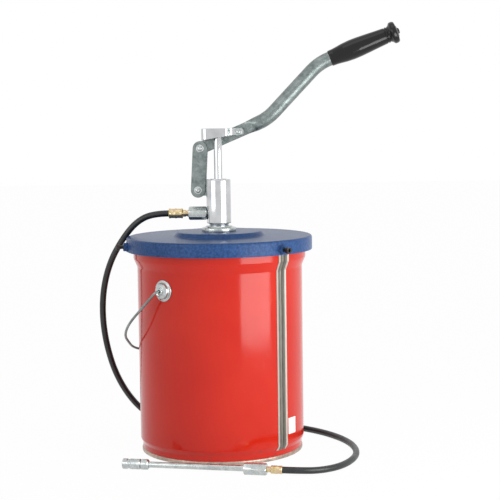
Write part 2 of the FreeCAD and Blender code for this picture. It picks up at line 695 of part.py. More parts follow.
def make_lance():
    pieces = {}
    at = 0
    pieces["lance_ferrule"] = lance(ferrule(LANCE_FERRULE_R, LANCE_FERRULE_LONG), at)
    at += LANCE_FERRULE_LONG
    pieces["lance_nipple"] = lance(ring(LANCE_NIPPLE_R, BORE_R, 0, LANCE_NIPPLE_LONG), at)
    at += LANCE_NIPPLE_LONG
    hexagon = hex_bar(LANCE_HEX, 0, LANCE_HEX_LONG).cut(cyl(BORE_R, -1, LANCE_HEX_LONG + 1))
    pieces["lance_hex"] = lance(hexagon, at)
    at += LANCE_HEX_LONG
    pieces["lance_tube"] = lance(ring(LANCE_TUBE_R, BORE_R, 0, LANCE_TUBE_LONG), at)
    at += LANCE_TUBE_LONG
    collar = COUPLER_LONG - SLEEVE_LONG
    profile = [(BORE_R, 0), (COUPLER_R - 1.5, 0), (COUPLER_R, 1.5), (COUPLER_R, collar - 4),
               (COUPLER_R - 2, collar - 3), (COUPLER_R - 2, COUPLER_LONG - 1),
               (MOUTH_R, COUPLER_LONG - 1), (MOUTH_R, COUPLER_LONG - 1 - MOUTH_DEEP),
               (BORE_R, COUPLER_LONG - 1 - MOUTH_DEEP)]
    pieces["coupler_body"] = lance(revolve(profile), at)
    sleeve = ring(COUPLER_R, COUPLER_R - 2 + RUN_GAP, collar - 2.5, COUPLER_LONG)
    pieces["coupler_sleeve"] = lance(sleeve, at)
    return pieces


def hose_path():
    start = V(-(BODY_R + SEAT_GAP + HEX_OUTLET_LONG + NIPPLE_LONG + FERRULE_LONG), 0, OUTLET_Z)
    points = [start, start - X_AXIS * HOSE_LEAD]
    points += [V(p) for p in HOSE_POINTS]
    points += [LANCE_END + lance_dir() * HOSE_LEAD, LANCE_END]
    radii = []
    for i in range(1, len(points) - 1):
        back = points[i - 1] - points[i]
        ahead = points[i + 1] - points[i]
        half_turn = (math.pi - back.getAngle(ahead)) / 2
        radii.append(0.45 * min(back.Length, ahead.Length) / math.tan(half_turn))
    return points, radii


def make_hose():
    points, radii = hose_path()
    print("hose bend radii, mm:", [round(r) for r in radii])
    runs = [(b - a).Length for a, b in zip(points, points[1:])]
    print("hose runs, mm:", [round(r) for r in runs])
    path = rounded_path(points, radii)
    hose = sweep(path, HOSE_R)
    expected = math.pi * HOSE_R ** 2 * path.Length
    print("hose length %.0f mm, volume ratio %.4f" % (path.Length, hose.Volume / expected))
    return hose


def make_parts():
    front_plate = lever_front() - SIDE_GAP - PLATE
    back_plate = lever_front() + LEVER_THICK + SIDE_GAP
    parts = {
        "pail_shell": make_pail_shell(),
        "pail_bottom": make_pail_bottom(),
        "side_seam": make_side_seam(),
        "blank_label": make_blank_label(),
        "bail_ears": make_bail_ears(),
        "bail_wire": make_bail_wire(),
        "lid": make_lid(),
        "lid_gasket": make_lid_gasket(),
        "clamp_nuts": make_clamp_nuts(),
        "flange_nut": make_flange_nut(),
        "flange_gasket": make_flange_gasket(),
        "backing_nut": make_backing_nut(),
        "pump_body": make_pump_body(),
        "gland_nut": make_gland_nut(),
        "rod_packing": make_rod_packing(),
        "fulcrum_lug": make_fulcrum_lug(),
        "barrel_tube": make_barrel_tube(),
        "foot_valve_body": make_foot_valve_body(),
        "foot_valve_stop": make_foot_valve_stop(),
        "foot_valve_ball": make_ball(FOOT_SEAT_Z, FOOT_SEAT_R, FOOT_BALL_R),
        "strainer": make_strainer(),
        "piston_rod": make_piston_rod(),
        "piston": make_piston(),
        "piston_seal": make_piston_seal(),
        "piston_ball": make_ball(PISTON_LOW + PISTON_SEAT_H, PISTON_SEAT_R, PISTON_BALL_R),
        "stirrup": make_stirrup(),
        "stirrup_pin": make_stirrup_pin(),
        "stirrup_spacer": make_stirrup_spacer(),
        "lever_bar": make_lever_bar(),
        "lever_grip": make_lever_grip(),
        "link_plate_front": make_link_plate(front_plate),
        "link_plate_back": make_link_plate(back_plate),
        "link_top_pin": make_link_pin(T_X, T_Z),
        "link_bottom_pin": make_link_pin(L_X, L_Z),
        "outlet_adaptor": make_outlet_adaptor(),
        "outlet_nipple": make_outlet_nipple(),
        "outlet_ferrule": make_outlet_ferrule(),
        "hose": make_hose(),
    }
    for name, azimuth in zip("abc", SCREW_AZ):
        parts["clamp_screw_" + name] = make_clamp_screw(azimuth)
    parts.update(make_lance())
    return parts


def main():
    os.makedirs("parts", exist_ok=True)
    for name, shape in make_parts().items():
        shape.exportStep(os.path.join("parts", name + ".step"))
        sound = shape.isValid() and all(s.isClosed() for s in shape.Solids)
        print("%-18s %d solid(s) %10.1f mm3 %s" % (name, len(shape.Solids), shape.Volume,
                                                    "" if sound else "NOT SOUND"))


main()
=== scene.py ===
import bpy
import bmesh
import json
import math
from mathutils import Matrix, Vector


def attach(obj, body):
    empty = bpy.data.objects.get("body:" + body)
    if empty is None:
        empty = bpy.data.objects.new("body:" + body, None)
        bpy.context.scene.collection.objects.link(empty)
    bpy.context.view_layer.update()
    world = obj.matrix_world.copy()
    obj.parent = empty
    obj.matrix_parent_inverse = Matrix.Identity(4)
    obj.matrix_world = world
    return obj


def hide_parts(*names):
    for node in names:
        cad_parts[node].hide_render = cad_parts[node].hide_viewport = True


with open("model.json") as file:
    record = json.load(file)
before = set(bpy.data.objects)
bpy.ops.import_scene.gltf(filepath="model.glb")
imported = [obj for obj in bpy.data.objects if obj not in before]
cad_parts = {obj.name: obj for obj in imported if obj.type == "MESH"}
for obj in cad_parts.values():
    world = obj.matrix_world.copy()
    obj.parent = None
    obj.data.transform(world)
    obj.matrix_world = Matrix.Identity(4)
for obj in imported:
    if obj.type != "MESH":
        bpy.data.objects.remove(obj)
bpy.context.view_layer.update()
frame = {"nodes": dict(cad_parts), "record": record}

mm = 0.001
zAxis = Vector((0, 0, 1))


# colours, nodes and materials

def linear(hexColour):
    channels = [int(hexColour[i:i + 2], 16) / 255 for i in (1, 3, 5)]
    return [c / 12.92 if c <= 0.04045 else ((c + 0.055) / 1.055) ** 2.4 for c in channels] + [1.0]


def addNode(tree, kind, settings=None, links=None):
    node = tree.nodes.new(kind)
    for key, value in (settings or {}).items():
        if isinstance(key, int) or key in node.inputs:
            node.inputs[key].default_value = value
        else:
            setattr(node, key, value)
    for key, source in (links or {}).items():
        tree.links.new(source, node.inputs[key])
    return node


# a principled material with its fixed values set on the shader's own sockets
def startMaterial(name, **sockets):
    material = bpy.data.materials.new(name)
    material.use_nodes = True
    tree = material.node_tree
    shader = tree.nodes["Principled BSDF"]
    for key, value in sockets.items():
        socket = key.replace("_", " ")
        shader.inputs[socket].default_value = linear(value) if isinstance(value, str) else value
    place = addNode(tree, "ShaderNodeTexCoord").outputs["Object"]
    return material, tree, shader, place


# noise whose lumps are about size mm across, drawn out along an axis by stretch
def noise(tree, place, size, detail=3.0, rough=0.5, stretch=None):
    if stretch:
        place = addNode(tree, "ShaderNodeMapping", {"Scale": stretch}, {"Vector": place}).outputs["Vector"]
    return addNode(tree, "ShaderNodeTexNoise", {"Scale": 1000 / size, "Detail": detail, "Roughness": rough},
                   {"Vector": place}).outputs["Fac"]


def cells(tree, place, size, feature="F1", output="Distance"):
    return addNode(tree, "ShaderNodeTexVoronoi", {"feature": feature, "Scale": 1000 / size},
                   {"Vector": place}).outputs[output]


# blends the colours or grey levels given at each position
def ramp(tree, source, stops):
    node = addNode(tree, "ShaderNodeValToRGB", links={"Fac": source})
    elements = node.color_ramp.elements
    while len(elements) < len(stops):
        elements.new(0.5)
    for element, (position, value) in zip(elements, stops):
        element.position = position
        element.color = linear(value) if isinstance(value, str) else (value, value, value, 1)
    return node.outputs["Color"]


def mixColour(tree, factor, first, second, blend="MIX"):
    node = addNode(tree, "ShaderNodeMix", {"data_type": "RGBA", "blend_type": blend})
    for socket, value in ((node.inputs[0], factor), (node.inputs[6], first), (node.inputs[7], second)):
        if isinstance(value, bpy.types.NodeSocket):
            tree.links.new(value, socket)
        else:
            socket.default_value = linear(value) if isinstance(value, str) else value
    return node.outputs[2]


# depth is in mm
def bump(tree, height, strength, depth, normal=None):
    links = {"Height": height}
    if normal:
        links["Normal"] = normal
    node = addNode(tree, "ShaderNodeBump", {"Strength": strength, "Distance": depth * mm}, links)
    return node.outputs["Normal"]


def glossRedEnamel():
    # stoved enamel on sheet steel: deep even red, faint waviness, a few nicks and rub marks
    material, tree, shader, place = startMaterial("glossRedEnamel", IOR=1.47, Specular_IOR_Level=0.35)
    tone = ramp(tree, noise(tree, place, 120), [(0.3, "#BE1E0E"), (0.7, "#C72612")])
    speck = ramp(tree, noise(tree, place, 5, 6, 0.7), [(0.715, 0.0), (0.745, 1.0)])
    tone = mixColour(tree, speck, tone, "#7E1D17")
    rubbed = ramp(tree, noise(tree, place, 26, 5, 0.65, (1, 1, 0.4)), [(0.62, 0.0), (0.8, 0.5)])
    tone = mixColour(tree, rubbed, tone, "#CE3320")
    height = addNode(tree, "ShaderNodeSeparateXYZ", links={"Vector": place}).outputs["Z"]
    foot = addNode(tree, "ShaderNodeMapRange", {"From Min": 0.03, "From Max": 0.005}, {"Value": height})
    chips = ramp(tree, noise(tree, place, 7, 6, 0.75), [(0.6, 0.0), (0.64, 1.0)])
    worn = addNode(tree, "ShaderNodeMath", {"operation": "MULTIPLY"})
    tree.links.new(chips, worn.inputs[0])
    tree.links.new(foot.outputs["Result"], worn.inputs[1])
    tone = mixColour(tree, worn.outputs["Value"], tone, "#5A3A30")
    tree.links.new(tone, shader.inputs["Base Color"])
    gloss = ramp(tree, noise(tree, place, 40, 6, 0.7), [(0.35, 0.09), (0.75, 0.2)])
    tree.links.new(gloss, shader.inputs["Roughness"])
    wave = bump(tree, noise(tree, place, 60, 2), 0.2, 0.5)
    tree.links.new(bump(tree, noise(tree, place, 2.2, 2), 0.06, 0.1, wave), shader.inputs["Normal"])
    return material


def hammeredPaint():
    # hammer finish on pressed steel: small dimples that break up the highlights, dark in their rims
    material, tree, shader, place = startMaterial("hammeredPaint", Roughness=0.3, IOR=1.45,
                                                  Specular_IOR_Level=0.14)
    warped = addNode(tree, "ShaderNodeVectorMath", {"operation": "ADD"}, {0: place})
    drift = addNode(tree, "ShaderNodeTexNoise", {"Scale": 250, "Detail": 2.0}, {"Vector": place})
    small = addNode(tree, "ShaderNodeVectorMath", {"operation": "SCALE", "Scale": 0.0022},
                    {"Vector": drift.outputs["Color"]})
    tree.links.new(small.outputs["Vector"], warped.inputs[1])
    dimple = cells(tree, warped.outputs["Vector"], 3.4, "SMOOTH_F1")
    tone = ramp(tree, dimple, [(0.1, "#3A5C90"), (0.75, "#233A62")])
    tone = mixColour(tree, 0.35, tone, ramp(tree, noise(tree, place, 50), [(0.3, "#28426F"), (0.7, "#3C5C90")]))
    tree.links.new(tone, shader.inputs["Base Color"])
    tree.links.new(bump(tree, dimple, 0.75, 0.55), shader.inputs["Normal"])
    return material


def zincPlate(name="brightZincPlate", light="#9AA3A1", dark="#687371", roughness=0.34, size=3.0):
    # zinc over rolled steel: grey-green, cloudy, with fine crystals and handling marks
    material, tree, shader, place = startMaterial(name, Metallic=0.9, Roughness=roughness)
    crystal = cells(tree, place, size, output="Color")
    grey = addNode(tree, "ShaderNodeSeparateColor", links={"Color": crystal}).outputs["Red"]
    tone = ramp(tree, grey, [(0.0, dark), (1.0, light)])
    cloud = ramp(tree, noise(tree, place, 14, 5, 0.65), [(0.35, dark), (0.7, light)])
    tone = mixColour(tree, 0.65, tone, cloud)
    stain = ramp(tree, noise(tree, place, 6, 6, 0.75), [(0.62, 0.0), (0.75, 0.55)])
    tone = mixColour(tree, stain, tone, "#5F6A66")
    tree.links.new(tone, shader.inputs["Base Color"])
    dull = ramp(tree, noise(tree, place, 9, 6, 0.7), [(0.3, roughness - 0.1), (0.75, roughness + 0.2)])
    tree.links.new(dull, shader.inputs["Roughness"])
    tree.links.new(bump(tree, noise(tree, place, 1.6, 4, 0.6), 0.25, 0.12), shader.inputs["Normal"])
    return material


def chromePlate():
    # polished chrome: mirror bright, with the faintest polishing lines round it
    material, tree, shader, place = startMaterial("chromePlate", Metallic=1.0, Roughness=0.08)
    tone = ramp(tree, noise(tree, place, 25, 4), [(0.3, "#B4B6B8"), (0.7, "#D2D4D6")])
    tree.links.new(tone, shader.inputs["Base Color"])
    lines = noise(tree, place, 2.0, 4, 0.6, (0.15, 0.15, 3.0))
    tree.links.new(ramp(tree, lines, [(0.3, 0.05), (0.8, 0.14)]), shader.inputs["Roughness"])
    tree.links.new(bump(tree, lines, 0.05, 0.03), shader.inputs["Normal"])
    return material


def dippedVinyl():
    # soft black vinyl moulded over the tube: wet-looking gloss with a faint shrink ripple
    material, tree, shader, place = startMaterial("dippedVinyl", IOR=1.48, Specular_IOR_Level=0.4)
    tone = ramp(tree, noise(tree, place, 30), [(0.3, "#070708"), (0.8, "#111213")])
    tree.links.new(tone, shader.inputs["Base Color"])
    scuff = ramp(tree, noise(tree, place, 7, 6, 0.7), [(0.4, 0.08), (0.8, 0.2)])
    tree.links.new(scuff, shader.inputs["Roughness"])
    tree.links.new(bump(tree, noise(tree, place, 9, 2), 0.18, 0.35), shader.inputs["Normal"])
    return material


def wrappedRubber():
    # hose cover cured in cloth: satin black with a fine crossed weave, drawn at 1.2 mm so that it shows
    material, tree, shader, place = startMaterial("wrappedRubber", Roughness=0.42, IOR=1.52)
    weave = cells(tree, place, 1.2)
    tone = ramp(tree, noise(tree, place, 18, 4), [(0.3, "#131415"), (0.75, "#232527")])
    tree.links.new(tone, shader.inputs["Base Color"])
    satin = ramp(tree, noise(tree, place, 12, 5), [(0.3, 0.3), (0.8, 0.52)])
    tree.links.new(satin, shader.inputs["Roughness"])
    tree.links.new(bump(tree, weave, 0.22, 0.15), shader.inputs["Normal"])
    return material


def plainRubber():
    # moulded seal rubber: dead black, slightly bloomed
    material, tree, shader, place = startMaterial("plainRubber", Roughness=0.6)
    tone = ramp(tree, noise(tree, place, 8, 4), [(0.3, "#151515"), (0.8, "#2A2A2A")])
    tree.links.new(tone, shader.inputs["Base Color"])
    tree.links.new(bump(tree, noise(tree, place, 1.5), 0.2, 0.1), shader.inputs["Normal"])
    return material


def passivatedBrass():
    # yellow passivated fittings: pale gold with pink and green interference patches
    material, tree, shader, place = startMaterial("passivatedBrass", Metallic=0.9, Roughness=0.3)
    tone = ramp(tree, noise(tree, place, 7, 4, 0.6), [(0.3, "#B9A06A"), (0.5, "#D9C79C"), (0.7, "#CDAE93")])
    tree.links.new(tone, shader.inputs["Base Color"])
    dull = ramp(tree, noise(tree, place, 4, 5), [(0.3, 0.2), (0.8, 0.45)])
    tree.links.new(dull, shader.inputs["Roughness"])
    tree.links.new(bump(tree, noise(tree, place, 1.0, 3), 0.15, 0.06), shader.inputs["Normal"])
    return material


def tinnedChime():
    # rolled tinplate edge: warm pale grey, scuffed along its foot, with rust starting in specks
    material, tree, shader, place = startMaterial("tinnedChime", Metallic=0.75, Roughness=0.4)
    tone = ramp(tree, noise(tree, place, 11, 5, 0.65), [(0.35, "#9E8B7E"), (0.65, "#C6B3A4")])
    rust = ramp(tree, noise(tree, place, 6, 6, 0.75), [(0.6, 0.0), (0.72, 0.8)])
    tree.links.new(mixColour(tree, rust, tone, "#6E4A39"), shader.inputs["Base Color"])
    tree.links.new(bump(tree, noise(tree, place, 2, 5, 0.7), 0.3, 0.15), shader.inputs["Normal"])
    return material


def bareSeam():
    # bare welded seam: dark blued weld line down the middle, brushed pale edges, drips of lacquer
    material, tree, shader, place = startMaterial("bareSeam", Metallic=0.8, Roughness=0.42)
    across = addNode(tree, "ShaderNodeAttribute", {"attribute_name": "across"}).outputs["Fac"]
    band = ramp(tree, across, [(0.0, "#E2DED4"), (0.16, "#CFCAC0"), (0.2, "#55514B"), (0.42, "#8C877E"),
                               (0.5, "#34322F"),
                               (0.72, "#7B776F"), (0.78, "#45423D"), (0.84, "#D2CDC2"), (1.0, "#E6E2D8")])
    blotch = ramp(tree, noise(tree, place, 5, 6, 0.75, (1, 1, 0.25)), [(0.35, "#4A4741"), (0.7, "#A39D90")])
    tree.links.new(mixColour(tree, 0.3, band, blotch), shader.inputs["Base Color"])
    dull = ramp(tree, noise(tree, place, 4, 5), [(0.3, 0.3), (0.8, 0.6)])
    tree.links.new(dull, shader.inputs["Roughness"])
    weld = bump(tree, noise(tree, place, 2.5, 5, 0.7, (1, 1, 0.5)), 0.5, 0.3)
    tree.links.new(weld, shader.inputs["Normal"])
    return material


def gummedPaper():
    # blank paper label: matt white with a trace of fibre
    material, tree, shader, place = startMaterial("gummedPaper", Roughness=0.75)
    tone = ramp(tree, noise(tree, place, 3, 6, 0.7), [(0.3, "#EFEEEA"), (0.75, "#FBFBF9")])
    tree.links.new(tone, shader.inputs["Base Color"])
    tree.links.new(bump(tree, noise(tree, place, 0.8, 5), 0.15, 0.05), shader.inputs["Normal"])
    return material


def blackOxide():
    # oiled black-oxide steel: near black, brown where it is rubbed
    material, tree, shader, place = startMaterial("blackOxide", Metallic=0.7, Roughness=0.38)
    tone = ramp(tree, noise(tree, place, 4, 5), [(0.35, "#1C1B1B"), (0.75, "#4B4540")])
    tree.links.new(tone, shader.inputs["Base Color"])
    tree.links.new(bump(tree, noise(tree, place, 1.2, 4), 0.2, 0.08), shader.inputs["Normal"])
    return material


def drawnSteel():
    # plain drawn steel under a film of oil: mid grey with lines along its length
    material, tree, shader, place = startMaterial("drawnSteel", Metallic=1.0, Roughness=0.3)
    lines = noise(tree, place, 1.5, 5, 0.6, (3, 3, 0.1))
    tree.links.new(ramp(tree, lines, [(0.3, "#6E7071"), (0.7, "#A2A4A5")]), shader.inputs["Base Color"])
    tree.links.new(bump(tree, lines, 0.15, 0.05), shader.inputs["Normal"])
    return material


def packingPlastic():
    # turned off-white packing: waxy, a little yellowed
    material, tree, shader, place = startMaterial("packingPlastic", Roughness=0.5)
    tone = ramp(tree, noise(tree, place, 6, 4), [(0.3, "#CFC8B2"), (0.75, "#E3DDCB")])
    tree.links.new(tone, shader.inputs["Base Color"])
    return material


finishes = {
    "red_enamel": glossRedEnamel(), "blue_hammered": hammeredPaint(), "zinc_plate": zincPlate(),
    "chrome": chromePlate(), "black_vinyl": dippedVinyl(), "hose_rubber": wrappedRubber(),
    "black_rubber": plainRubber(), "brass": passivatedBrass(), "tin_plate": tinnedChime(),
    "bare_seam": bareSeam(), "white_paper": gummedPaper(), "black_steel": blackOxide(),
    "steel": drawnSteel(), "seal_plastic": packingPlastic(),
    "bright_zinc": zincPlate("polishedZincPlate", "#D3D7D6", "#A3ABAA", 0.2, 2.0),
}
slotNames = {s["node"]: s["material_slot"] for s in frame["record"]["subparts"]}
print("materials ready")


# mesh helpers; lengths in mm until the mesh is made

def bodyOf(node):
    return next(name for name, nodes in frame["record"]["behaviour"]["bodies"].items() if node in nodes)


# a mesh piece that rides on the body of the CAD node it stands for
def addPiece(name, vertices, faces, finish, node, sharp=32, spread=None):
    mesh = bpy.data.meshes.new(name)
    mesh.from_pydata([Vector(v) * mm for v in vertices], [], faces)
    mesh.materials.append(finishes[finish])
    tidy = bmesh.new()
    tidy.from_mesh(mesh)
    bmesh.ops.remove_doubles(tidy, verts=tidy.verts, dist=1e-6)
    bmesh.ops.recalc_face_normals(tidy, faces=tidy.faces)
    tidy.to_mesh(mesh)
    tidy.free()
    mesh.shade_smooth()
    mesh.set_sharp_from_angle(angle=math.radians(sharp))
    piece = bpy.data.objects.new(name, mesh)
    bpy.context.scene.collection.objects.link(piece)
    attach(piece, bodyOf(node))
    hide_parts(node)
    if spread:
        layer = mesh.attributes.new("across", "FLOAT", "POINT")
        for vertex in mesh.vertices:
            layer.data[vertex.index].value = spread(vertex.co / mm)
    return piece


# the outline with each corner rounded off by its radius
def rounded(points, radii, steps=4, closed=True):
    points = [Vector(p).to_2d() for p in points]
    if not isinstance(radii, (list, tuple)):
        radii = [radii] * len(points)
    out = []
    for i, corner in enumerate(points):
        radius = radii[i]
        if radius == 0 or (not closed and i in (0, len(points) - 1)):
            out.append(corner)
            continue
        back = points[i - 1] - corner
        ahead = points[(i + 1) % len(points)] - corner
        half = back.angle(ahead) / 2
        cut = min(radius / math.tan(half), 0.48 * back.length, 0.48 * ahead.length)
        first = corner + back.normalized() * cut
        last = corner + ahead.normalized() * cut
        for k in range(steps + 1):
            t = k / steps
            out.append(first * (1 - t) ** 2 + corner * 2 * t * (1 - t) + last * t * t)
    return out


# rings of vertices and faces for a closed outline (radius, height) turned about Z
def turned(profile, around=96, shift=None):
    vertices, faces = [], []
    for k in range(around):
        angle = 2 * math.pi * k / around
        for r, z in profile:
            grown = r + (shift(r, z, angle) if shift else 0)
            vertices.append((grown * math.cos(angle), grown * math.sin(angle), z))
    count = len(profile)
    for k in range(around):
        following = (k + 1) % around
        for i in range(count):
            j = (i + 1) % count
            if profile[i][0] < 1e-9 and profile[j][0] < 1e-9:
                continue
            ring = [k * count + i, k * count + j, following * count + j, following * count + i]
            if profile[i][0] < 1e-9:
                ring = ring[:3]
            elif profile[j][0] < 1e-9:
                ring = [ring[0], ring[1], ring[3]]
            faces.append(ring)
    return vertices, faces


# takes a shape made along +Z to start, pointing along direction
def laid(shape, start, direction, spin=0.0):
    vertices, faces = shape
    direction = Vector(direction).normalized()
    side = zAxis.cross(direction)
    side = side.normalized() if side.length > 1e-6 else Vector((1, 0, 0))
    turn = Matrix((side, direction.cross(side), direction)).transposed()
    turn = turn @ Matrix.Rotation(math.radians(spin), 3, "Z")
    return [turn @ Vector(v) + Vector(start) for v in vertices], faces


# a flat outline pushed from low to high along Z, its edges eased
def extruded(outline, low, high, edge=0.6):
    rings = [(low, edge), (low + edge, 0), (high - edge, 0), (high, edge)]
    count = len(outline)
    vertices = []
    for z, inset in rings:
        for i, p in enumerate(outline):
            back = (p - outline[i - 1]).normalized()
            ahead = (outline[(i + 1) % count] - p).normalized()
            normal = Vector((-(back + ahead).y, (back + ahead).x)).normalized()
            vertices.append((*(p + normal * inset), z))
    faces = []
    for k in range(len(rings) - 1):
        for i in range(count):
            j = (i + 1) % count
            faces.append([k * count + i, k * count + j, (k + 1) * count + j, (k + 1) * count + i])
    faces.append(list(range(count))[::-1])
    faces.append([(len(rings) - 1) * count + i for i in range(count)])
    return vertices, faces


# takes a shape drawn in X and Y with thickness along Z to stand in X and Z, thick along Y
def standing(shape):
    vertices, faces = shape
    return [(v[0], v[2], v[1]) for v in vertices], faces


# a hexagon bar along Z, its ends turned down to a chamfer, with a bore through it
def hexBar(flats, low, high, chamfer=1.0, bore=0.0):
    corner = flats / math.sqrt(3)
    around = 72
    ends = [(low, chamfer), (low + chamfer, 0), (high - chamfer, 0), (high, chamfer)]
    vertices, faces = [], []
    for k in range(around):
        angle = 2 * math.pi * k / around
        flatRadius = flats / 2 / math.cos(math.radians(30) - angle % math.radians(60))
        rings = [(min(flatRadius, corner - 1.2 * cut + 0.15), z) for z, cut in ends]
        for r, z in rings + [(bore, high), (bore, low)]:
            vertices.append((r * math.cos(angle), r * math.sin(angle), z))
    count = len(ends) + 2
    for k in range(around):
        n = (k + 1) % around
        for i in range(count):
            j = (i + 1) % count
            faces.append([k * count + i, k * count + j, n * count + j, n * count + i])
    return vertices, faces


def joined(*shapes):
    vertices, faces = [], []
    for shape in shapes:
        base = len(vertices)
        vertices += list(shape[0])
        faces += [[i + base for i in face] for face in shape[1]]
    return vertices, faces


def outward(azimuth):
    a = math.radians(azimuth)
    return Vector((math.sin(a), -math.cos(a), 0))


# pail

pail = {"radius": 135.0, "sheet": 1.2, "flare": 141.0, "flareLow": 304.0, "flareHigh": 318.0, "foot": 131.5,
        "footLow": 15.0, "footHigh": 22.0, "chime": 6.6, "bead": 3.0, "beadZ": 345.2, "around": 224}


# the pail's wall from chime to mouth, offset outwards, with the press radii at its steps
def wallPoints(offset=0.0, top=None):
    rise = top or pail["beadZ"]
    points = [(pail["foot"], pail["chime"]), (pail["foot"], pail["footLow"]), (pail["radius"], pail["footHigh"]),
              (pail["radius"], pail["flareLow"]), (pail["flare"], pail["flareHigh"]), (pail["flare"], rise)]
    return [(r + offset, z) for r, z in points]


def makePail():
    radii = [0, 4, 6, 12, 10, 0]
    outer = rounded(wallPoints(), radii, 6, closed=False)
    inner = rounded(wallPoints(-pail["sheet"]), radii, 6, closed=False)
    centre = pail["flare"] + pail["bead"] - pail["sheet"]
    curl = []
    for k in range(1, 12):
        angle = math.radians(-150 + 300 * k / 11)
        spot = Vector((math.cos(angle), math.sin(angle))) * pail["bead"]
        curl.append(spot + Vector((centre, pail["beadZ"])))
    outer[-1].y = curl[0].y - 0.8
    inner[-1].y = curl[-1].y - 1.2
    profile = outer + curl + inner[::-1]
    addPiece("pailShell", *turned(profile, pail["around"]), "red_enamel", "pail_shell", 50)


def makeChime():
    outer = pail["foot"] + 1.2
    inner = outer - 5.0
    outline = [(0, 3.0), (inner, 3.0), (inner, 0), (outer, 0), (outer, pail["chime"]), (inner + 0.6, pail["chime"]),
               (inner + 0.6, 4.2), (0, 4.2)]
    profile = rounded(outline, [0, 0.6, 1.2, 2.0, 2.2, 0.6, 0.6, 0], 4)
    addPiece("pailBottom", *turned(profile, pail["around"]), "tin_plate", "pail_bottom", 40)


seam = {"azimuth": 50.5, "wide": 22.0, "thick": 0.7, "lift": 0.1, "top": 329.0, "columns": 12}


def seamPoint(turn, point, z):
    angle = math.radians(seam["azimuth"] - 90 + turn)
    return (point * math.cos(angle), point * math.sin(angle), z)


def makeSeam():
    half = math.degrees(seam["wide"] / pail["radius"]) / 2
    line = rounded(wallPoints(seam["lift"], seam["top"])[1:], [0, 6, 12, 10, 0], 6, closed=False)
    rows = len(line)
    vertices, faces = [], []
    columns = seam["columns"]
    for layer in (0, 1):
        for k in range(columns + 1):
            turn = -half + 2 * half * k / columns
            raised = seam["thick"] * layer * (1 if k in (0, columns) else 0.45 if k in (1, columns - 1) else 0.3)
            ridge = seam["thick"] * layer * math.exp(-((k - columns / 2) / 0.9) ** 2)
            for i, p in enumerate(line):
                sway = 0.9 if i == 0 else 0.0  # the foot of the seam sits a little to one side
                vertices.append(seamPoint(turn - sway, p[0] + max(raised, ridge), p[1]))
    width = (columns + 1) * rows
    for k in range(columns):
        for i in range(rows - 1):
            a = k * rows + i
            faces.append([a, a + 1, a + rows + 1, a + rows])
            faces.append([width + a, width + a + rows, width + a + rows + 1, width + a + 1])
        for i in (0, rows - 1):
            a = k * rows + i
            faces.append([a, a + rows, width + a + rows, width + a])
    for k in (0, columns):
        for i in range(rows - 1):
            a = k * rows + i
            faces.append([a, width + a, width + a + 1, a + 1])

    def spread(place):
        turn = math.degrees(math.atan2(place.y, place.x)) - seam["azimuth"] + 90
        return min(1.0, max(0.0, 0.5 + turn / (2 * half)))

    addPiece("sideSeam", vertices, faces, "bare_seam", "side_seam", 40, spread)


def makeLabel():
    label = {"azimuth": 61.0, "wide": 21.0, "high": 26.0, "z": 51.0, "thick": 0.3, "columns": 10}
    half = math.degrees(label["wide"] / pail["radius"]) / 2
    vertices, faces = [], []
    columns = label["columns"]
    corners = [(0.12, -1), (0.12 + label["thick"], -1), (0.12 + label["thick"], 1), (0.12, 1)]
    for k in range(columns + 1):
        angle = math.radians(label["azimuth"] - 90 - half + 2 * half * k / columns)
        for rise, side in corners:
            r = pail["radius"] + rise
            z = label["z"] + side * label["high"] / 2 - 0.04 * k
            vertices.append((r * math.cos(angle), r * math.sin(angle), z))
    for k in range(columns):
        for i in range(4):
            j = (i + 1) % 4
            faces.append([k * 4 + i, k * 4 + j, k * 4 + 4 + j, k * 4 + 4 + i])
    faces += [[0, 1, 2, 3], [columns * 4 + i for i in (3, 2, 1, 0)]]
    addPiece("blankLabel", vertices, faces, "white_paper", "blank_label", 30)


makePail()
makeChime()
makeSeam()
makeLabel()
print("pail ready")


# bail and ears

bail = {"azimuth": -36.5, "z": 275.0, "wire": 2.0, "arm": 152.5, "shoulder": 108.0, "top": 60.0, "reach": 183.5,
        "droop": 41.0, "bends": [6, 95, 130], "tip": 138.0}
ear = {"flange": 17.0, "dome": 13.0, "rise": 11.0}


def makeEars():
    outline = [(2.1, -1.0), (ear["flange"] - 2, -1.0), (ear["flange"], -0.9), (ear["flange"], 1.2),
               (ear["flange"] - 1.2, 2.0), (ear["dome"] + 0.6, 1.8), (ear["dome"], 2.6),
               (ear["dome"] - 0.6, 6.4), (ear["dome"] - 4.5, 9.7), (ear["dome"] - 6.5, 8.9),
               (5.2, 8.7), (4.4, ear["rise"] - 0.6), (2.9, ear["rise"] - 0.4), (2.1, ear["rise"] - 1.6)]
    profile = rounded(outline, [0, 0, 0.8, 0.9, 0.5, 1.0, 1.5, 3.0, 1.2, 0.8, 1.0, 0.6, 0.6, 0], 4)
    shapes = []
    for side in (0, 180):
        out = outward(bail["azimuth"] + side)
        vertices, faces = laid(turned(profile, 72), out * pail["radius"] + zAxis * bail["z"], out)
        seated = []
        for v in vertices:
            level = Vector((v.x, v.y, 0))
            short = pail["radius"] + 0.12 - level.length
            seated.append(v + level.normalized() * short if short > 0 else v)
        shapes.append((seated, faces))
    addPiece("bailEars", *joined(*shapes), "bright_zinc", "bail_ears", 40)


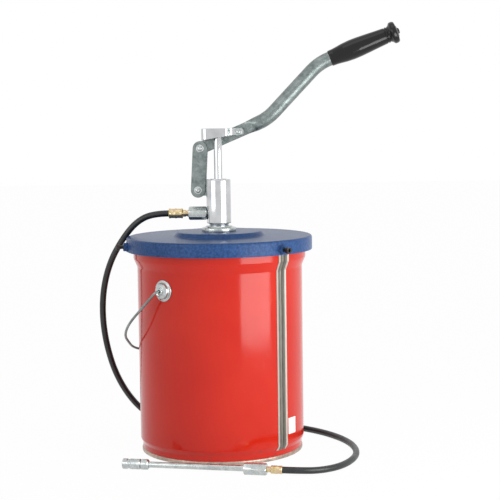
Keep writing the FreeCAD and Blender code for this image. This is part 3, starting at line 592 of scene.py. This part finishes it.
# points along straight runs joined by tangent arcs
def bendPath(points, radii, steps=10):
    out = [points[0]]
    for i, radius in enumerate(radii):
        corner = points[i + 1]
        back = (points[i] - corner).normalized()
        ahead = (points[i + 2] - corner).normalized()
        half = (math.pi - back.angle(ahead)) / 2
        centre = corner + (back + ahead).normalized() * (radius / math.cos(half))
        first = corner + back * radius * math.tan(half) - centre
        last = corner + ahead * radius * math.tan(half) - centre
        for k in range(steps + 1):
            t = k / steps
            whole = 2 * half
            blend = first * math.sin((1 - t) * whole) + last * math.sin(t * whole)
            out.append(centre + blend / math.sin(whole))
    out.append(points[-1])
    return out


# lays a ring of section(i, t) points, in (side, up) mm, along the path; up keeps level with the path's bend
def sweptTube(path, section):
    vertices, faces = [], []
    side = None
    for i, p in enumerate(path):
        ahead = (path[min(i + 1, len(path) - 1)] - path[max(i - 1, 0)]).normalized()
        if side is None:
            side = ahead.cross(zAxis if abs(ahead.z) < 0.9 else Vector((1, 0, 0))).normalized()
        side = (side - ahead * side.dot(ahead)).normalized()
        up = side.cross(ahead)
        ring = section(i)
        vertices += [p + side * a + up * b for a, b in ring]
        count = len(ring)
    for i in range(len(path) - 1):
        for k in range(count):
            n = (k + 1) % count
            faces.append([i * count + k, i * count + n, (i + 1) * count + n, (i + 1) * count + k])
    faces.append(list(range(count))[::-1])
    faces.append([(len(path) - 1) * count + k for k in range(count)])
    return vertices, faces


def circle(radius, count=24):
    return [(radius * math.cos(2 * math.pi * k / count), radius * math.sin(2 * math.pi * k / count))
            for k in range(count)]


def makeBail():
    axis = outward(bail["azimuth"] + 180)
    level = Vector((-axis.y, axis.x, 0))
    droop = math.radians(bail["droop"])
    reach = level * math.cos(droop) - zAxis * math.sin(droop)
    centre = zAxis * bail["z"]
    half = [(bail["tip"], 0), (bail["arm"], 0), (bail["arm"] - 4, bail["shoulder"]), (bail["top"], bail["reach"])]
    flat = half + [(-u, v) for u, v in half[::-1]]
    points = [centre + axis * u + reach * v for u, v in flat]
    path = bendPath(points, bail["bends"] + bail["bends"][::-1], 12)
    wire = sweptTube(path, lambda i: circle(bail["wire"], 20))
    addPiece("bailWire", *wire, "zinc_plate", "bail_wire", 60)


makeEars()
makeBail()
print("bail ready")


# lid, nuts and screws

lid = {"radius": 152.0, "sheet": 1.6, "top": 353.0, "skirt": 23.0, "corner": 6.0, "dish": 69.0, "dishTop": 360.0,
       "slope": 6.0, "hole": 16.5}
clamp = {"azimuths": (44.5, -75.5, 164.5), "z": 338.3, "screw": 3.0, "head": 5.0, "headLong": 6.0, "nut": 13.0,
         "nutLong": 6.0, "travel": 5.0}


def makeLid():
    r, t, top = lid["radius"], lid["sheet"], lid["top"]
    low = top - lid["skirt"]
    outer = [(r - t - 0.9, low + 0.2), (r - 0.2, low), (r, low + 2.0), (r, top), (r - lid["corner"] - 4, top - 0.4),
             (lid["dish"] + lid["slope"], top), (lid["dish"], lid["dishTop"]), (lid["hole"], lid["dishTop"])]
    inner = [(lid["hole"], lid["dishTop"] - t), (lid["dish"] - 0.8, lid["dishTop"] - t),
             (lid["dish"] + lid["slope"] - 0.8, top - t), (r - lid["corner"] - 4, top - t - 0.2), (r - t, top - t)]
    radii = [0.5, 0.5, 1.0, 4.5, 3.0, 5.0, 4.0, 0.0, 0.0, 3.0, 4.0, 3.0, 3.0]
    profile = rounded(outer + inner, radii, 6)
    addPiece("clampLid", *turned(profile, pail["around"]), "blue_hammered", "lid", 50)


def makeNuts():
    shapes = []
    for azimuth in clamp["azimuths"]:
        out = outward(azimuth)
        nut = hexBar(clamp["nut"], 0.15, clamp["nutLong"], 1.0, clamp["screw"] + 0.1)
        weld = turned(rounded([(6.4, 0.1), (8.6, 0.1), (6.6, 1.6)], 0.4, 3), 48,
                      lambda r, z, a: 0.35 * math.sin(7 * a) * (r > 7))
        place = out * lid["radius"] + zAxis * clamp["z"]
        shapes += [laid(nut, place, out), laid(weld, place, out)]
    addPiece("clampNuts", *joined(*shapes), "blue_hammered", "clamp_nuts", 35)


def makeScrews():
    tip = pail["flare"] + 0.3
    head = lid["radius"] + clamp["nutLong"] + clamp["travel"] + 1.0
    end = head + clamp["headLong"]
    socket = 2.7
    outline = [(0, tip), (clamp["screw"] - 0.8, tip), (clamp["screw"], tip + 0.8), (clamp["screw"], head),
               (clamp["head"], head), (clamp["head"], end), (socket, end), (socket, end - 3), (0, end - 3)]
    profile = rounded(outline, [0, 0, 0, 0.2, 0.3, 0.8, 0.3, 0, 0], 3)

    def thread(r, z, angle):
        knurl = 0.14 * abs(math.sin(18 * angle)) * (r > clamp["head"] - 0.1 and z > head + 0.5)
        hexagon = 0.3 * (abs(math.cos(3 * angle)) - 1) * (socket - 0.1 < r < socket + 0.1)
        return -knurl + hexagon

    for letter, azimuth in zip("abc", clamp["azimuths"]):
        screw = laid(turned(profile, 72, thread), zAxis * clamp["z"], outward(azimuth))
        addPiece("clampScrew." + letter, *screw, "black_steel", "clamp_screw_" + letter, 35)


makeLid()
makeNuts()
makeScrews()
print("lid ready")


# pump

pump = {"body": 20.0, "top": 445.0, "low": 373.0, "neck": 16.0, "neckLow": 344.0, "flange": 28.0, "rod": 6.5,
        "gland": 13.0, "annulus": 10.0}
lever = {"front": 13.4, "thick": 8.0, "high": 20.0, "tube": 11.5, "stirrupPin": (33.0, 521.6), "topPin": (-30.4, 495.0),
         "lugPin": (-34.5, 426.3), "lowerBend": (81.7, 542.6), "upperBend": 19.4, "flatEnd": 13.0, "swell": 24.0,
         "radii": (80.0, 84.0), "slot": (8.2, 5.7)}
grip = {"start": (183.7, 638.0), "long": 119.0, "angle": 21.2, "cap": 12.0}
leverMiddle = lever["front"] + lever["thick"] / 2


def makePumpBody():
    b, top, low, neck = pump["body"], pump["top"], pump["low"], pump["neck"]
    outline = [(13.2, pump["neckLow"]), (neck, pump["neckLow"]), (neck, low), (b - 1.0, low), (b, low + 1.2),
               (b, top), (pump["gland"] + 0.2, top), (pump["gland"] + 0.2, top - 10), (pump["annulus"], top - 10),
               (pump["annulus"], low + 5), (13.2, low + 5)]
    profile = rounded(outline, [0.3, 0.5, 1.5, 0.8, 0.8, 2.6, 0.4, 0, 0.3, 0.5, 0.3], 5)
    addPiece("pumpBody", *turned(profile, 128), "chrome", "pump_body", 30)
    g = rounded([(pump["rod"] + 0.06, top - 9.9), (pump["gland"], top - 9.9), (pump["gland"], top + 0.8),
                 (pump["rod"] + 0.06, top + 0.8)], [0.2, 0.4, 0.8, 0.6], 4)
    addPiece("glandNut", *turned(g, 96), "chrome", "gland_nut", 30)
    flange = [(neck + 0.1, 360.1), (pump["flange"], 360.1), (pump["flange"], 366.1), (22.5, 366.8), (21.5, 368.6),
              (neck + 0.1, 368.6)]
    profile = rounded(flange, [0.2, 0.8, 1.6, 2.0, 0.8, 0.4], 5)
    addPiece("flangeNut", *turned(profile, 128), "bright_zinc", "flange_nut", 30)


def makeRod():
    tip = rounded([(0, 317.0), (5, 317.0), (5, 326.1), (pump["rod"], 326.1), (pump["rod"], 525.5), (0, 525.5)],
                  [0, 0.6, 0.2, 0.3, 0.9, 0], 3)
    addPiece("pistonRod", *turned(tip, 96), "chrome", "piston_rod", 30)


stirrup = {"left": -27.0, "strap": 3.0, "inner": 6.8, "low": 508.0, "high": 19.5, "jog": 14.0, "jogEnd": 22.0,
           "end": 42.0, "ear": 5.9}


# a strap of rectangular section standing on edge along a line of (x, y) points
def strapShape(centreLine, lowAt, high, thick):
    line = [Vector(p) for p in centreLine]
    half = thick / 2
    path = [Vector((p.x, p.y, 0)) for p in line]
    edge = 0.7
    vertices, faces = [], []
    for i, p in enumerate(path):
        low = lowAt(p.x)
        ring = [(-half + edge, low), (half - edge, low), (half, low + edge), (half, high - edge),
                (half - edge, high), (-half + edge, high), (-half, high - edge), (-half, low + edge)]
        ahead = (path[min(i + 1, len(path) - 1)] - path[max(i - 1, 0)]).normalized()
        side = ahead.cross(zAxis)
        vertices += [p + side * a + zAxis * z for a, z in ring]
    count = len(ring)
    for i in range(len(path) - 1):
        for k in range(count):
            n = (k + 1) % count
            faces.append([i * count + k, i * count + n, (i + 1) * count + n, (i + 1) * count + k])
    faces += [list(range(count))[::-1], [(len(path) - 1) * count + k for k in range(count)]]
    return vertices, faces


def makeStirrup():
    s = stirrup
    middle = s["inner"] + s["strap"] / 2
    turnX = s["left"] + s["inner"] + s["strap"]
    arc = []
    for k in range(17):
        angle = math.radians(90 + 180 * k / 16)
        arc.append((turnX + middle * math.cos(angle), middle * math.sin(angle)))
    frontEar = s["inner"] - s["strap"] / 2 - 0.02
    tipX = s["end"] - s["ear"]
    back = [(tipX, middle), (s["jog"] + 2, middle)]
    front = rounded([(turnX, -middle), (s["jog"] + 0.5, -middle), (s["jogEnd"] - 0.5, frontEar), (tipX, frontEar)],
                    [0, 3.5, 3.5, 0], 6, closed=False)
    line = [Vector(p) for p in back] + [Vector(p) for p in arc] + front[1:]
    top = s["low"] + s["high"]
    radius = s["ear"]

    def lowAt(x):
        share = min(1.0, max(0.0, (x - s["left"]) / (s["jogEnd"] - s["left"])))
        return s["low"] + (top - 2 * radius - s["low"]) * share

    body = strapShape(line, lowAt, top, s["strap"])
    disc = [Vector((tipX + radius * math.cos(a), top - radius + radius * math.sin(a)))
            for a in [2 * math.pi * k / 48 for k in range(48)]]
    ears = [standing(extruded(disc, y - s["strap"] / 2, y + s["strap"] / 2, 0.6)) for y in (frontEar, middle)]
    weld = turned(rounded([(pump["rod"] + 0.1, top - 3.0), (s["inner"] + 0.2, top - 3.0), (s["inner"] + 0.2, top - 0.8),
                           (pump["rod"] + 0.1, top - 1.6)], 0.3, 3), 48)
    addPiece("stirrup", *joined(body, *ears, weld), "chrome", "stirrup", 30)


# a pin along Y with a domed front head, dished in the middle, and a flat back head
def rivet(x, z, faceY, backY, headRadius, headHigh, washer=0.0):
    r = 4.0
    outline = [(0, -headHigh + 0.7), (0.9, -headHigh + 0.5), (1.6, -headHigh), (3.2, -headHigh + 0.3), (4.2, -0.5),
               (headRadius - 0.5, -0.4), (headRadius, -0.12), (r, -0.12), (r, backY - faceY + 0.12),
               (max(headRadius, washer), backY - faceY + 0.12), (max(headRadius, washer), backY - faceY + headHigh),
               (0, backY - faceY + headHigh)]
    profile = rounded(outline, [0, 0.4, 0.4, 0.9, 0.3, 0.2, 0.1, 0, 0, 0.2, 0.9, 0], 4)
    vertices, faces = turned(profile, 64)
    return [(x + v[0], faceY + v[2], z + v[1]) for v in vertices], faces


def makePins():
    front = lever["front"] - 0.3 - 3.0
    back = lever["front"] + lever["thick"] + 0.3 + 3.0
    for name, node, (x, z) in (("linkTopPin", "link_top_pin", lever["topPin"]),
                               ("linkBottomPin", "link_bottom_pin", lever["lugPin"])):
        addPiece(name, *rivet(x, z, front, back, 6.5, 2.0), "bright_zinc", node, 30)
    x, z = lever["stirrupPin"]
    addPiece("stirrupPin", *rivet(x, z, stirrup["inner"] - stirrup["strap"], lever["front"] + lever["thick"] + 0.2,
                                  6.5, 2.0, 9.5), "bright_zinc", "stirrup_pin", 30)
    spacer = turned(rounded([(4.06, 9.9), (9.5, 9.9), (9.5, 13.1), (4.06, 13.1)], 0.4, 3), 64)
    addPiece("stirrupSpacer", [(x + v[0], v[2], z + v[1]) for v in spacer[0]], spacer[1], "zinc_plate",
             "stirrup_spacer", 30)


def makeLinks():
    top, foot = Vector(lever["topPin"]), Vector(lever["lugPin"])
    tilt = math.atan2(*(top - foot))
    length = (top - foot).length
    width = 24.0
    outline = []
    for end, start in ((length, 0), (0, 180)):
        for k in range(17):
            a = math.radians(start + 180 * k / 16)
            outline.append(Vector((width / 2 * math.cos(a), end + width / 2 * math.sin(a))))
    turn = Matrix.Rotation(-tilt, 2)
    placed = [turn @ p + foot for p in outline]
    for name, node, low in (("linkPlateFront", "link_plate_front", lever["front"] - 3.3),
                            ("linkPlateBack", "link_plate_back", lever["front"] + lever["thick"] + 0.3)):
        plate = standing(extruded(placed, low, low + 3.0, 0.55))
        addPiece(name, *plate, "zinc_plate", node, 30)


def makeLug():
    x, z = lever["lugPin"]
    outline = [Vector((x + 9 * math.cos(a), z + 9 * math.sin(a))) for a in
               [math.radians(90 + 180 * k / 16) for k in range(17)]]
    outline += [Vector((-17.2, z - 9)), Vector((-17.2, z + 9))]
    plate = standing(extruded(outline, lever["front"] + 0.02, lever["front"] + lever["thick"] - 0.02, 0.5))
    bead = []
    for side in (lever["front"] + 0.2, lever["front"] + lever["thick"] - 3.0):
        level = math.sqrt(max(0.0, (pump["body"] + 0.4) ** 2 - side ** 2))
        for k in range(9):
            bead.append(Vector((-level - 0.6, side, z - 8.5 + 2.1 * k)))
    points, faces = ballPoints(1.7)
    weld = [([v + place for v in points], faces) for place in bead]
    addPiece("fulcrumLug", *joined(plate, *weld), "zinc_plate", "fulcrum_lug", 40)


def ballPoints(radius, around=10):
    profile = [(radius * math.sin(math.pi * k / 6), -radius * math.cos(math.pi * k / 6)) for k in range(7)]
    profile[0] = (0, -radius)
    profile[-1] = (0, radius)
    vertices, faces = turned(profile, around)
    return [Vector(v) for v in vertices], faces


# a superellipse: near a rectangle for a high power, an ellipse for 2
def squareRound(wide, high, power, count=48):
    ring = []
    for k in range(count):
        a = 2 * math.pi * k / count
        c, s = math.cos(a), math.sin(a)
        ring.append((wide * abs(c) ** (2 / power) * (1 if c > 0 else -1),
                     high * abs(s) ** (2 / power) * (1 if s > 0 else -1)))
    return ring


def makeLever():
    topPin = Vector((lever["topPin"][0], leverMiddle, lever["topPin"][1]))
    stirrupPin = Vector((lever["stirrupPin"][0], leverMiddle, lever["stirrupPin"][1]))
    along = (stirrupPin - topPin).normalized()
    lift = math.radians(grip["angle"])
    gripWay = Vector((math.cos(lift), 0, math.sin(lift)))
    gripStart = Vector((grip["start"][0], leverMiddle, grip["start"][1]))
    flatEnd = stirrupPin + along * lever["flatEnd"]
    lowerBend = Vector((lever["lowerBend"][0], leverMiddle, lever["lowerBend"][1]))
    bends = [lowerBend, gripStart - gripWay * lever["upperBend"]]
    end = gripStart + gripWay * (grip["long"] - grip["cap"])
    half = lever["high"] / 2
    nose = [topPin - along * (half * math.cos(math.radians(90 * k / 10))) for k in range(10)]
    noseHigh = [max(0.4, half * math.sin(math.radians(90 * k / 10))) for k in range(10)]
    swell = [flatEnd + along * (lever["swell"] * k / 10) for k in range(1, 9)]
    tube = bendPath([swell[-1]] + bends + [end], lever["radii"], 14)[1:]
    path = nose + [topPin + along * 2, flatEnd - along * 30, flatEnd - along * 8, flatEnd] + swell + tube
    flat = lever["thick"] / 2

    def section(i):
        if i < 10:
            return squareRound(flat, noseHigh[i], 9)
        if i < 14:
            return squareRound(flat, half, 9)
        t = min(1.0, (i - 13) / 9)
        eased = t * t * (3 - 2 * t)
        return squareRound(flat + (lever["tube"] - flat) * eased, half + (lever["tube"] - half) * eased,
                           9 - 7 * min(1.0, 1.4 * eased) if eased < 0.7 else 2)

    body = addPiece("leverBar", *sweptTube(path, section), "zinc_plate", "lever_bar", 42)
    long, high = lever["slot"]
    a = topPin - along * (long - high)
    b = topPin + along * (long - high)
    up = along.cross(Vector((0, 1, 0)))
    outline = []
    for centre, start in ((a, 90), (b, 270)):
        for k in range(9):
            angle = math.radians(start + 180 * k / 8)
            outline.append(centre + along * (high * math.cos(angle)) - up * (high * math.sin(angle)))
    flatOutline = [Vector((p.x, p.z)) for p in outline]
    cutBy(body, standing(extruded(flatOutline, lever["front"] - 5, lever["front"] + 13, 0.0)))


# takes a shape out of a piece for good
def cutBy(piece, shape):
    mesh = bpy.data.meshes.new("cutter")
    mesh.from_pydata([Vector(v) * mm for v in shape[0]], [], shape[1])
    cutter = bpy.data.objects.new("cutter", mesh)
    bpy.context.scene.collection.objects.link(cutter)
    tidy = bmesh.new()
    tidy.from_mesh(mesh)
    bmesh.ops.recalc_face_normals(tidy, faces=tidy.faces)
    tidy.to_mesh(mesh)
    tidy.free()
    cut = piece.modifiers.new("cut", "BOOLEAN")
    cut.object = cutter
    cut.solver = "EXACT"
    bpy.context.view_layer.update()
    result = bpy.data.meshes.new_from_object(piece.evaluated_get(bpy.context.evaluated_depsgraph_get()))
    piece.modifiers.remove(cut)
    piece.data = result
    bpy.data.objects.remove(cutter)


def makeGrip():
    length = grip["long"]
    tube = lever["tube"] + 0.1
    outline = [(tube, 0), (12.7, 0), (13.0, 1.2), (13.2, 8), (14.0, 15), (15.4, 25), (16.2, 38), (16.0, 50),
               (15.0, 66), (13.9, 82), (13.15, 94), (13.1, 96.5), (12.3, 97.2), (12.3, 98.4), (13.1, 99.1),
               (13.1, 100.6), (12.3, 101.3), (12.3, 102.5), (13.2, 103.4), (13.4, 104.4), (17.3, 107.4),
               (18.0, 109.5), (17.8, 113), (16.6, 115.5), (14.0, 116.4), (13.0, 115.7), (11.5, 116.4),
               (8.5, length - 1.2), (5.0, length - 0.8), (4.6, length + 0.8), (3.0, length + 1.5), (0, length + 1.5),
               (0, length - grip["cap"] + 0.1), (tube, length - grip["cap"] + 0.1)]
    radii = [0.3, 0.5, 1.0] + [12] * 7 + [1.5, 0.5, 0.5, 0.5, 0.5, 0.5, 0.5, 0.5, 1.0, 1.5, 2.0, 1.8, 2.0, 1.5, 0.6, 0.6,
                               1.0, 2.0, 0.8, 0.6, 0.8, 0, 0, 0]
    lift = math.radians(grip["angle"])
    shape = laid(turned(rounded(outline, radii, 5), 112), (grip["start"][0], leverMiddle, grip["start"][1]),
                 (math.cos(lift), 0, math.sin(lift)))
    addPiece("leverGrip", *shape, "black_vinyl", "lever_grip", 40)


makePumpBody()
makeRod()
makeStirrup()
makePins()
makeLinks()
makeLug()
makeLever()
makeGrip()
print("pump and lever ready")


# outlet, hose and lance

outlet = {"z": 389.5, "start": 20.1, "hex": 19.0, "hexLong": 29.0, "nippleLong": 10.0, "nipple": 5.6,
          "ferrule": 8.2, "ferruleLong": 23.0}
hose = {"radius": 5.2, "lead": 27.0}
lance = {"end": (107.0, -189.0, 8.5), "way": (249.0, -39.0, 0.0), "ferrule": 6.4, "ferruleLong": 18.0, "nipple": 4.4,
         "nippleLong": 6.5, "hex": 17.0, "hexLong": 35.5, "tube": 4.7, "tubeLong": 152.0, "coupler": 8.2,
         "couplerLong": 42.0, "sleeveLong": 26.0, "mouth": 5.0, "mouthDeep": 12.0}
boreRadius = 2.5

# the route the hose takes between its two ferrules
hosePoints = [
    (-137, 3, 376), (-161, 8, 348), (-184, 15, 309), (-198, 24, 262),
    (-202, 34, 212), (-198, 47, 163), (-188, 65, 115), (-171, 88, 72), (-147, 112, 36),
    (-113, 134, 12), (-70, 150, 5.3), (-16, 159, 5.3), (42, 155, 5.3), (98, 136, 5.3),
    (146, 104, 5.3), (183, 62, 5.3), (209, 14, 5.3), (221, -36, 5.3), (221, -82, 5.3),
    (210, -124, 5.3), (191, -158, 5.3), (163, -184, 6.6),
]


# a ferrule pressed on by eight jaws, in two bands
def crimpedFerrule(outer, length):
    outline = [(boreRadius, 0), (outer - 0.8, 0), (outer, 0.8)]
    middle = [length * share for share in (0.42, 0.46, 0.54, 0.58)]
    outline += [(outer, z) for z in [2.2, 3.0] + middle + [length - 3.0, length - 2.2]]
    outline += [(outer, length - 0.8), (outer - 0.8, length), (boreRadius, length)]

    def crimp(r, z, angle):
        if r < outer - 0.1:
            return 0
        inBand = 3.0 <= z <= length * 0.42 or length * 0.58 <= z <= length - 3.0
        return -0.07 * outer * (0.75 + 0.25 * math.cos(8 * angle)) if inBand else 0

    return turned([Vector(p) for p in outline], 96, crimp)


def makeOutlet():
    o = outlet
    way = Vector((-1, 0, 0))
    start = Vector((-o["start"], 0, o["z"]))
    adaptor = laid(hexBar(o["hex"], 0, o["hexLong"], 1.4, boreRadius), start, way, 30)
    collar = laid(turned(rounded([(boreRadius, -6), (6.2, -6), (6.2, 1), (boreRadius, 1)], 0.2, 2), 48), start, way)
    addPiece("outletAdaptor", *joined(adaptor, collar), "bright_zinc", "outlet_adaptor", 30)
    start = start + way * o["hexLong"]
    n = o["nipple"]
    outline = [(boreRadius, 0), (n, 0), (n, 2.4), (n - 1.2, 3.0), (n - 1.2, 4.4), (n, 5.0), (n, o["nippleLong"] - 0.6),
               (n - 0.6, o["nippleLong"]), (boreRadius, o["nippleLong"])]
    addPiece("outletNipple", *laid(turned(rounded(outline, 0.3, 3), 64), start, way), "brass", "outlet_nipple", 30)
    start = start + way * o["nippleLong"]
    ferrule = laid(crimpedFerrule(o["ferrule"], o["ferruleLong"]), start, way)
    addPiece("outletFerrule", *ferrule, "brass", "outlet_ferrule", 32)
    return start + way * o["ferruleLong"]


def makeLance():
    c = lance
    way = -Vector(c["way"]).normalized()
    at = Vector(c["end"])
    addPiece("lanceFerrule", *laid(crimpedFerrule(c["ferrule"], c["ferruleLong"]), at, way), "brass", "lance_ferrule", 32)
    at = at + way * c["ferruleLong"]
    outline = [(boreRadius, 0), (c["nipple"], 0), (c["nipple"], c["nippleLong"]), (boreRadius, c["nippleLong"])]
    addPiece("lanceNipple", *laid(turned(rounded(outline, 0.4, 3), 64), at, way), "brass", "lance_nipple", 30)
    at = at + way * c["nippleLong"]
    addPiece("lanceHex", *laid(hexBar(c["hex"], 0, c["hexLong"], 1.4, boreRadius), at, way), "bright_zinc", "lance_hex", 30)
    at = at + way * c["hexLong"]
    outline = [(boreRadius, 0), (c["tube"], 0), (c["tube"], c["tubeLong"]), (boreRadius, c["tubeLong"])]
    addPiece("lanceTube", *laid(turned(rounded(outline, 0.3, 3), 72), at, way), "bright_zinc", "lance_tube", 30)
    at = at + way * c["tubeLong"]
    collar = c["couplerLong"] - c["sleeveLong"]
    r = c["coupler"]
    outline = [(boreRadius, 0), (r - 2.2, 0), (r - 0.4, 1.6), (r, 2.4), (r, collar - 4.4), (r - 0.4, collar - 4),
               (r - 2, collar - 3), (r - 2, c["couplerLong"] - 1), (c["mouth"], c["couplerLong"] - 1),
               (c["mouth"], c["couplerLong"] - 1 - c["mouthDeep"]), (boreRadius, c["couplerLong"] - 1 - c["mouthDeep"])]
    addPiece("couplerBody", *laid(turned(rounded(outline, 0.3, 3), 96), at, way), "bright_zinc", "coupler_body", 30)
    low = collar - 2.5
    rows = [low + (c["couplerLong"] - low) * k / 40 for k in range(41)]
    outline = [(r - 1.94, low), (r - 0.7, low)] + [(r, z) for z in rows[1:-1]]
    outline += [(r - 0.7, rows[-1]), (r - 1.94, rows[-1])]

    def knurl(radius, z, angle):
        if radius < r - 0.1:
            return 0
        groove = -0.9 if rows[24] <= z <= rows[29] else 0
        if not rows[5] <= z <= rows[20]:
            return groove
        return -0.3 * (1 - abs(math.cos(16 * angle + 2.1 * z)) * abs(math.cos(16 * angle - 2.1 * z)))

    addPiece("couplerSleeve", *laid(turned([Vector(p) for p in outline], 192, knurl), at, way), "bright_zinc",
             "coupler_sleeve", 34)


def makeHose(start):
    end = Vector(lance["end"])
    way = Vector(lance["way"]).normalized()
    route = [start, start + Vector((-hose["lead"], 0, 0))] + [Vector(p) for p in hosePoints]
    route += [end + way * hose["lead"], end]
    curve = bpy.data.curves.new("deliveryHose", "CURVE")
    curve.dimensions = "3D"
    curve.bevel_depth = hose["radius"] * mm
    curve.bevel_resolution = 8
    curve.resolution_u = 16
    curve.use_fill_caps = True
    spline = curve.splines.new("NURBS")
    spline.points.add(len(route) - 1)
    for point, place in zip(spline.points, route):
        point.co = (*(place * mm), 1)
    spline.order_u = 3
    spline.use_endpoint_u = True
    curve.materials.append(finishes["hose_rubber"])
    piece = bpy.data.objects.new("deliveryHose", curve)
    bpy.context.scene.collection.objects.link(piece)
    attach(piece, bodyOf("hose"))
    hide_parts("hose")
    runs = [(after - before).length for before, after in zip(route, route[1:])]


hoseStart = makeOutlet()
makeLance()
makeHose(hoseStart)
print("hose and lance ready")


# inner pieces keep their CAD shape

for node, piece in frame["nodes"].items():
    if piece.hide_render:
        continue
    piece.data.materials.clear()
    piece.data.materials.append(finishes.get(slotNames[node], finishes["steel"]))
    weld = piece.modifiers.new("weld", "WELD")
    weld.merge_threshold = 1e-5
print("inner pieces ready")


# floor, lights and camera

# lets the camera, gloss and glass see plain white, while the lamps still light the surface
def paleEnds(tree, level):
    path = addNode(tree, "ShaderNodeLightPath").outputs
    seen = addNode(tree, "ShaderNodeMath", {"operation": "MAXIMUM"})
    tree.links.new(path["Is Camera Ray"], seen.inputs[0])
    more = addNode(tree, "ShaderNodeMath", {"operation": "MAXIMUM"})
    tree.links.new(path["Is Glossy Ray"], more.inputs[0])
    tree.links.new(path["Is Transmission Ray"], more.inputs[1])
    tree.links.new(more.outputs["Value"], seen.inputs[1])
    part = addNode(tree, "ShaderNodeMath", {"operation": "MULTIPLY", 1: level}, {0: seen.outputs["Value"]})
    return part.outputs["Value"]


def makeFloor():
    material = bpy.data.materials.new("paleFloor")
    material.use_nodes = True
    tree = material.node_tree
    tree.nodes.clear()
    plain = addNode(tree, "ShaderNodeBsdfDiffuse", {"Color": linear("#F2F2F2")})
    white = addNode(tree, "ShaderNodeEmission", {"Color": (1, 1, 1, 1), "Strength": 1.0})
    share = paleEnds(tree, 0.975)
    mix = addNode(tree, "ShaderNodeMixShader", links={0: share, 1: plain.outputs[0], 2: white.outputs[0]})
    addNode(tree, "ShaderNodeOutputMaterial", links={"Surface": mix.outputs[0]})
    mesh = bpy.data.meshes.new("studioFloor")
    mesh.from_pydata([(-9, -9, 0), (9, -9, 0), (9, 9, 0), (-9, 9, 0)], [], [[0, 1, 2, 3]])
    mesh.materials.append(material)
    floor = bpy.data.objects.new("studioFloor", mesh)
    bpy.context.scene.collection.objects.link(floor)


def makeWorld():
    world = bpy.data.worlds.new("studioWorld")
    bpy.context.scene.world = world
    world.use_nodes = True
    tree = world.node_tree
    tree.nodes.clear()
    fill = addNode(tree, "ShaderNodeBackground", {"Color": (1, 1, 1, 1), "Strength": 0.5})
    white = addNode(tree, "ShaderNodeBackground", {"Color": (1, 1, 1, 1), "Strength": 1.0})
    share = paleEnds(tree, 1.0)
    mix = addNode(tree, "ShaderNodeMixShader", links={0: share, 1: fill.outputs[0], 2: white.outputs[0]})
    addNode(tree, "ShaderNodeOutputWorld", links={"Surface": mix.outputs[0]})


# an area lamp of that size in metres; its power follows from how bright its face is
def softbox(name, azimuth, distance, height, size, radiance, aim=(0, 0, 0.3)):
    data = bpy.data.lights.new(name, "AREA")
    data.shape = "RECTANGLE"
    data.size, data.size_y = size
    data.energy = radiance * math.pi * size[0] * size[1]
    lamp = bpy.data.objects.new(name, data)
    bpy.context.scene.collection.objects.link(lamp)
    lamp.location = outward(azimuth) * distance + zAxis * height
    lamp.rotation_euler = (lamp.location - Vector(aim)).to_track_quat("Z", "Y").to_euler()


def makeCamera():
    view = {"place": (0.19366, -2.31564, 0.55068), "aim": (0.05022, 0.0, 0.32812), "roll": -0.81, "lens": 102.33}
    data = bpy.data.cameras.new("studioCamera")
    data.lens = view["lens"]
    data.sensor_width = 36.0
    data.clip_end = 50.0
    camera = bpy.data.objects.new("studioCamera", data)
    bpy.context.scene.collection.objects.link(camera)
    place, aim = Vector(view["place"]), Vector(view["aim"])
    ahead = (aim - place).normalized()
    right = ahead.cross(zAxis).normalized()
    up = right.cross(ahead)
    roll = math.radians(view["roll"])
    turnedRight = right * math.cos(roll) + up * math.sin(roll)
    turnedUp = up * math.cos(roll) - right * math.sin(roll)
    turn = Matrix((turnedRight, turnedUp, -ahead)).transposed()
    camera.matrix_world = Matrix.Translation(place) @ turn.to_4x4()
    bpy.context.scene.camera = camera


makeFloor()
makeWorld()
softbox("keyRight", 52, 0.95, 0.3, (0.74, 0.56), 5.4, (0, 0, 0.24))
softbox("fillLeft", -46, 1.7, 0.75, (1.2, 1.0), 1.7, (0, 0, 0.4))
softbox("overhead", 0, 0.6, 2.2, (1.2, 1.0), 0.7)
makeCamera()
bpy.context.scene.view_settings.view_transform = "Standard"
print("studio ready")
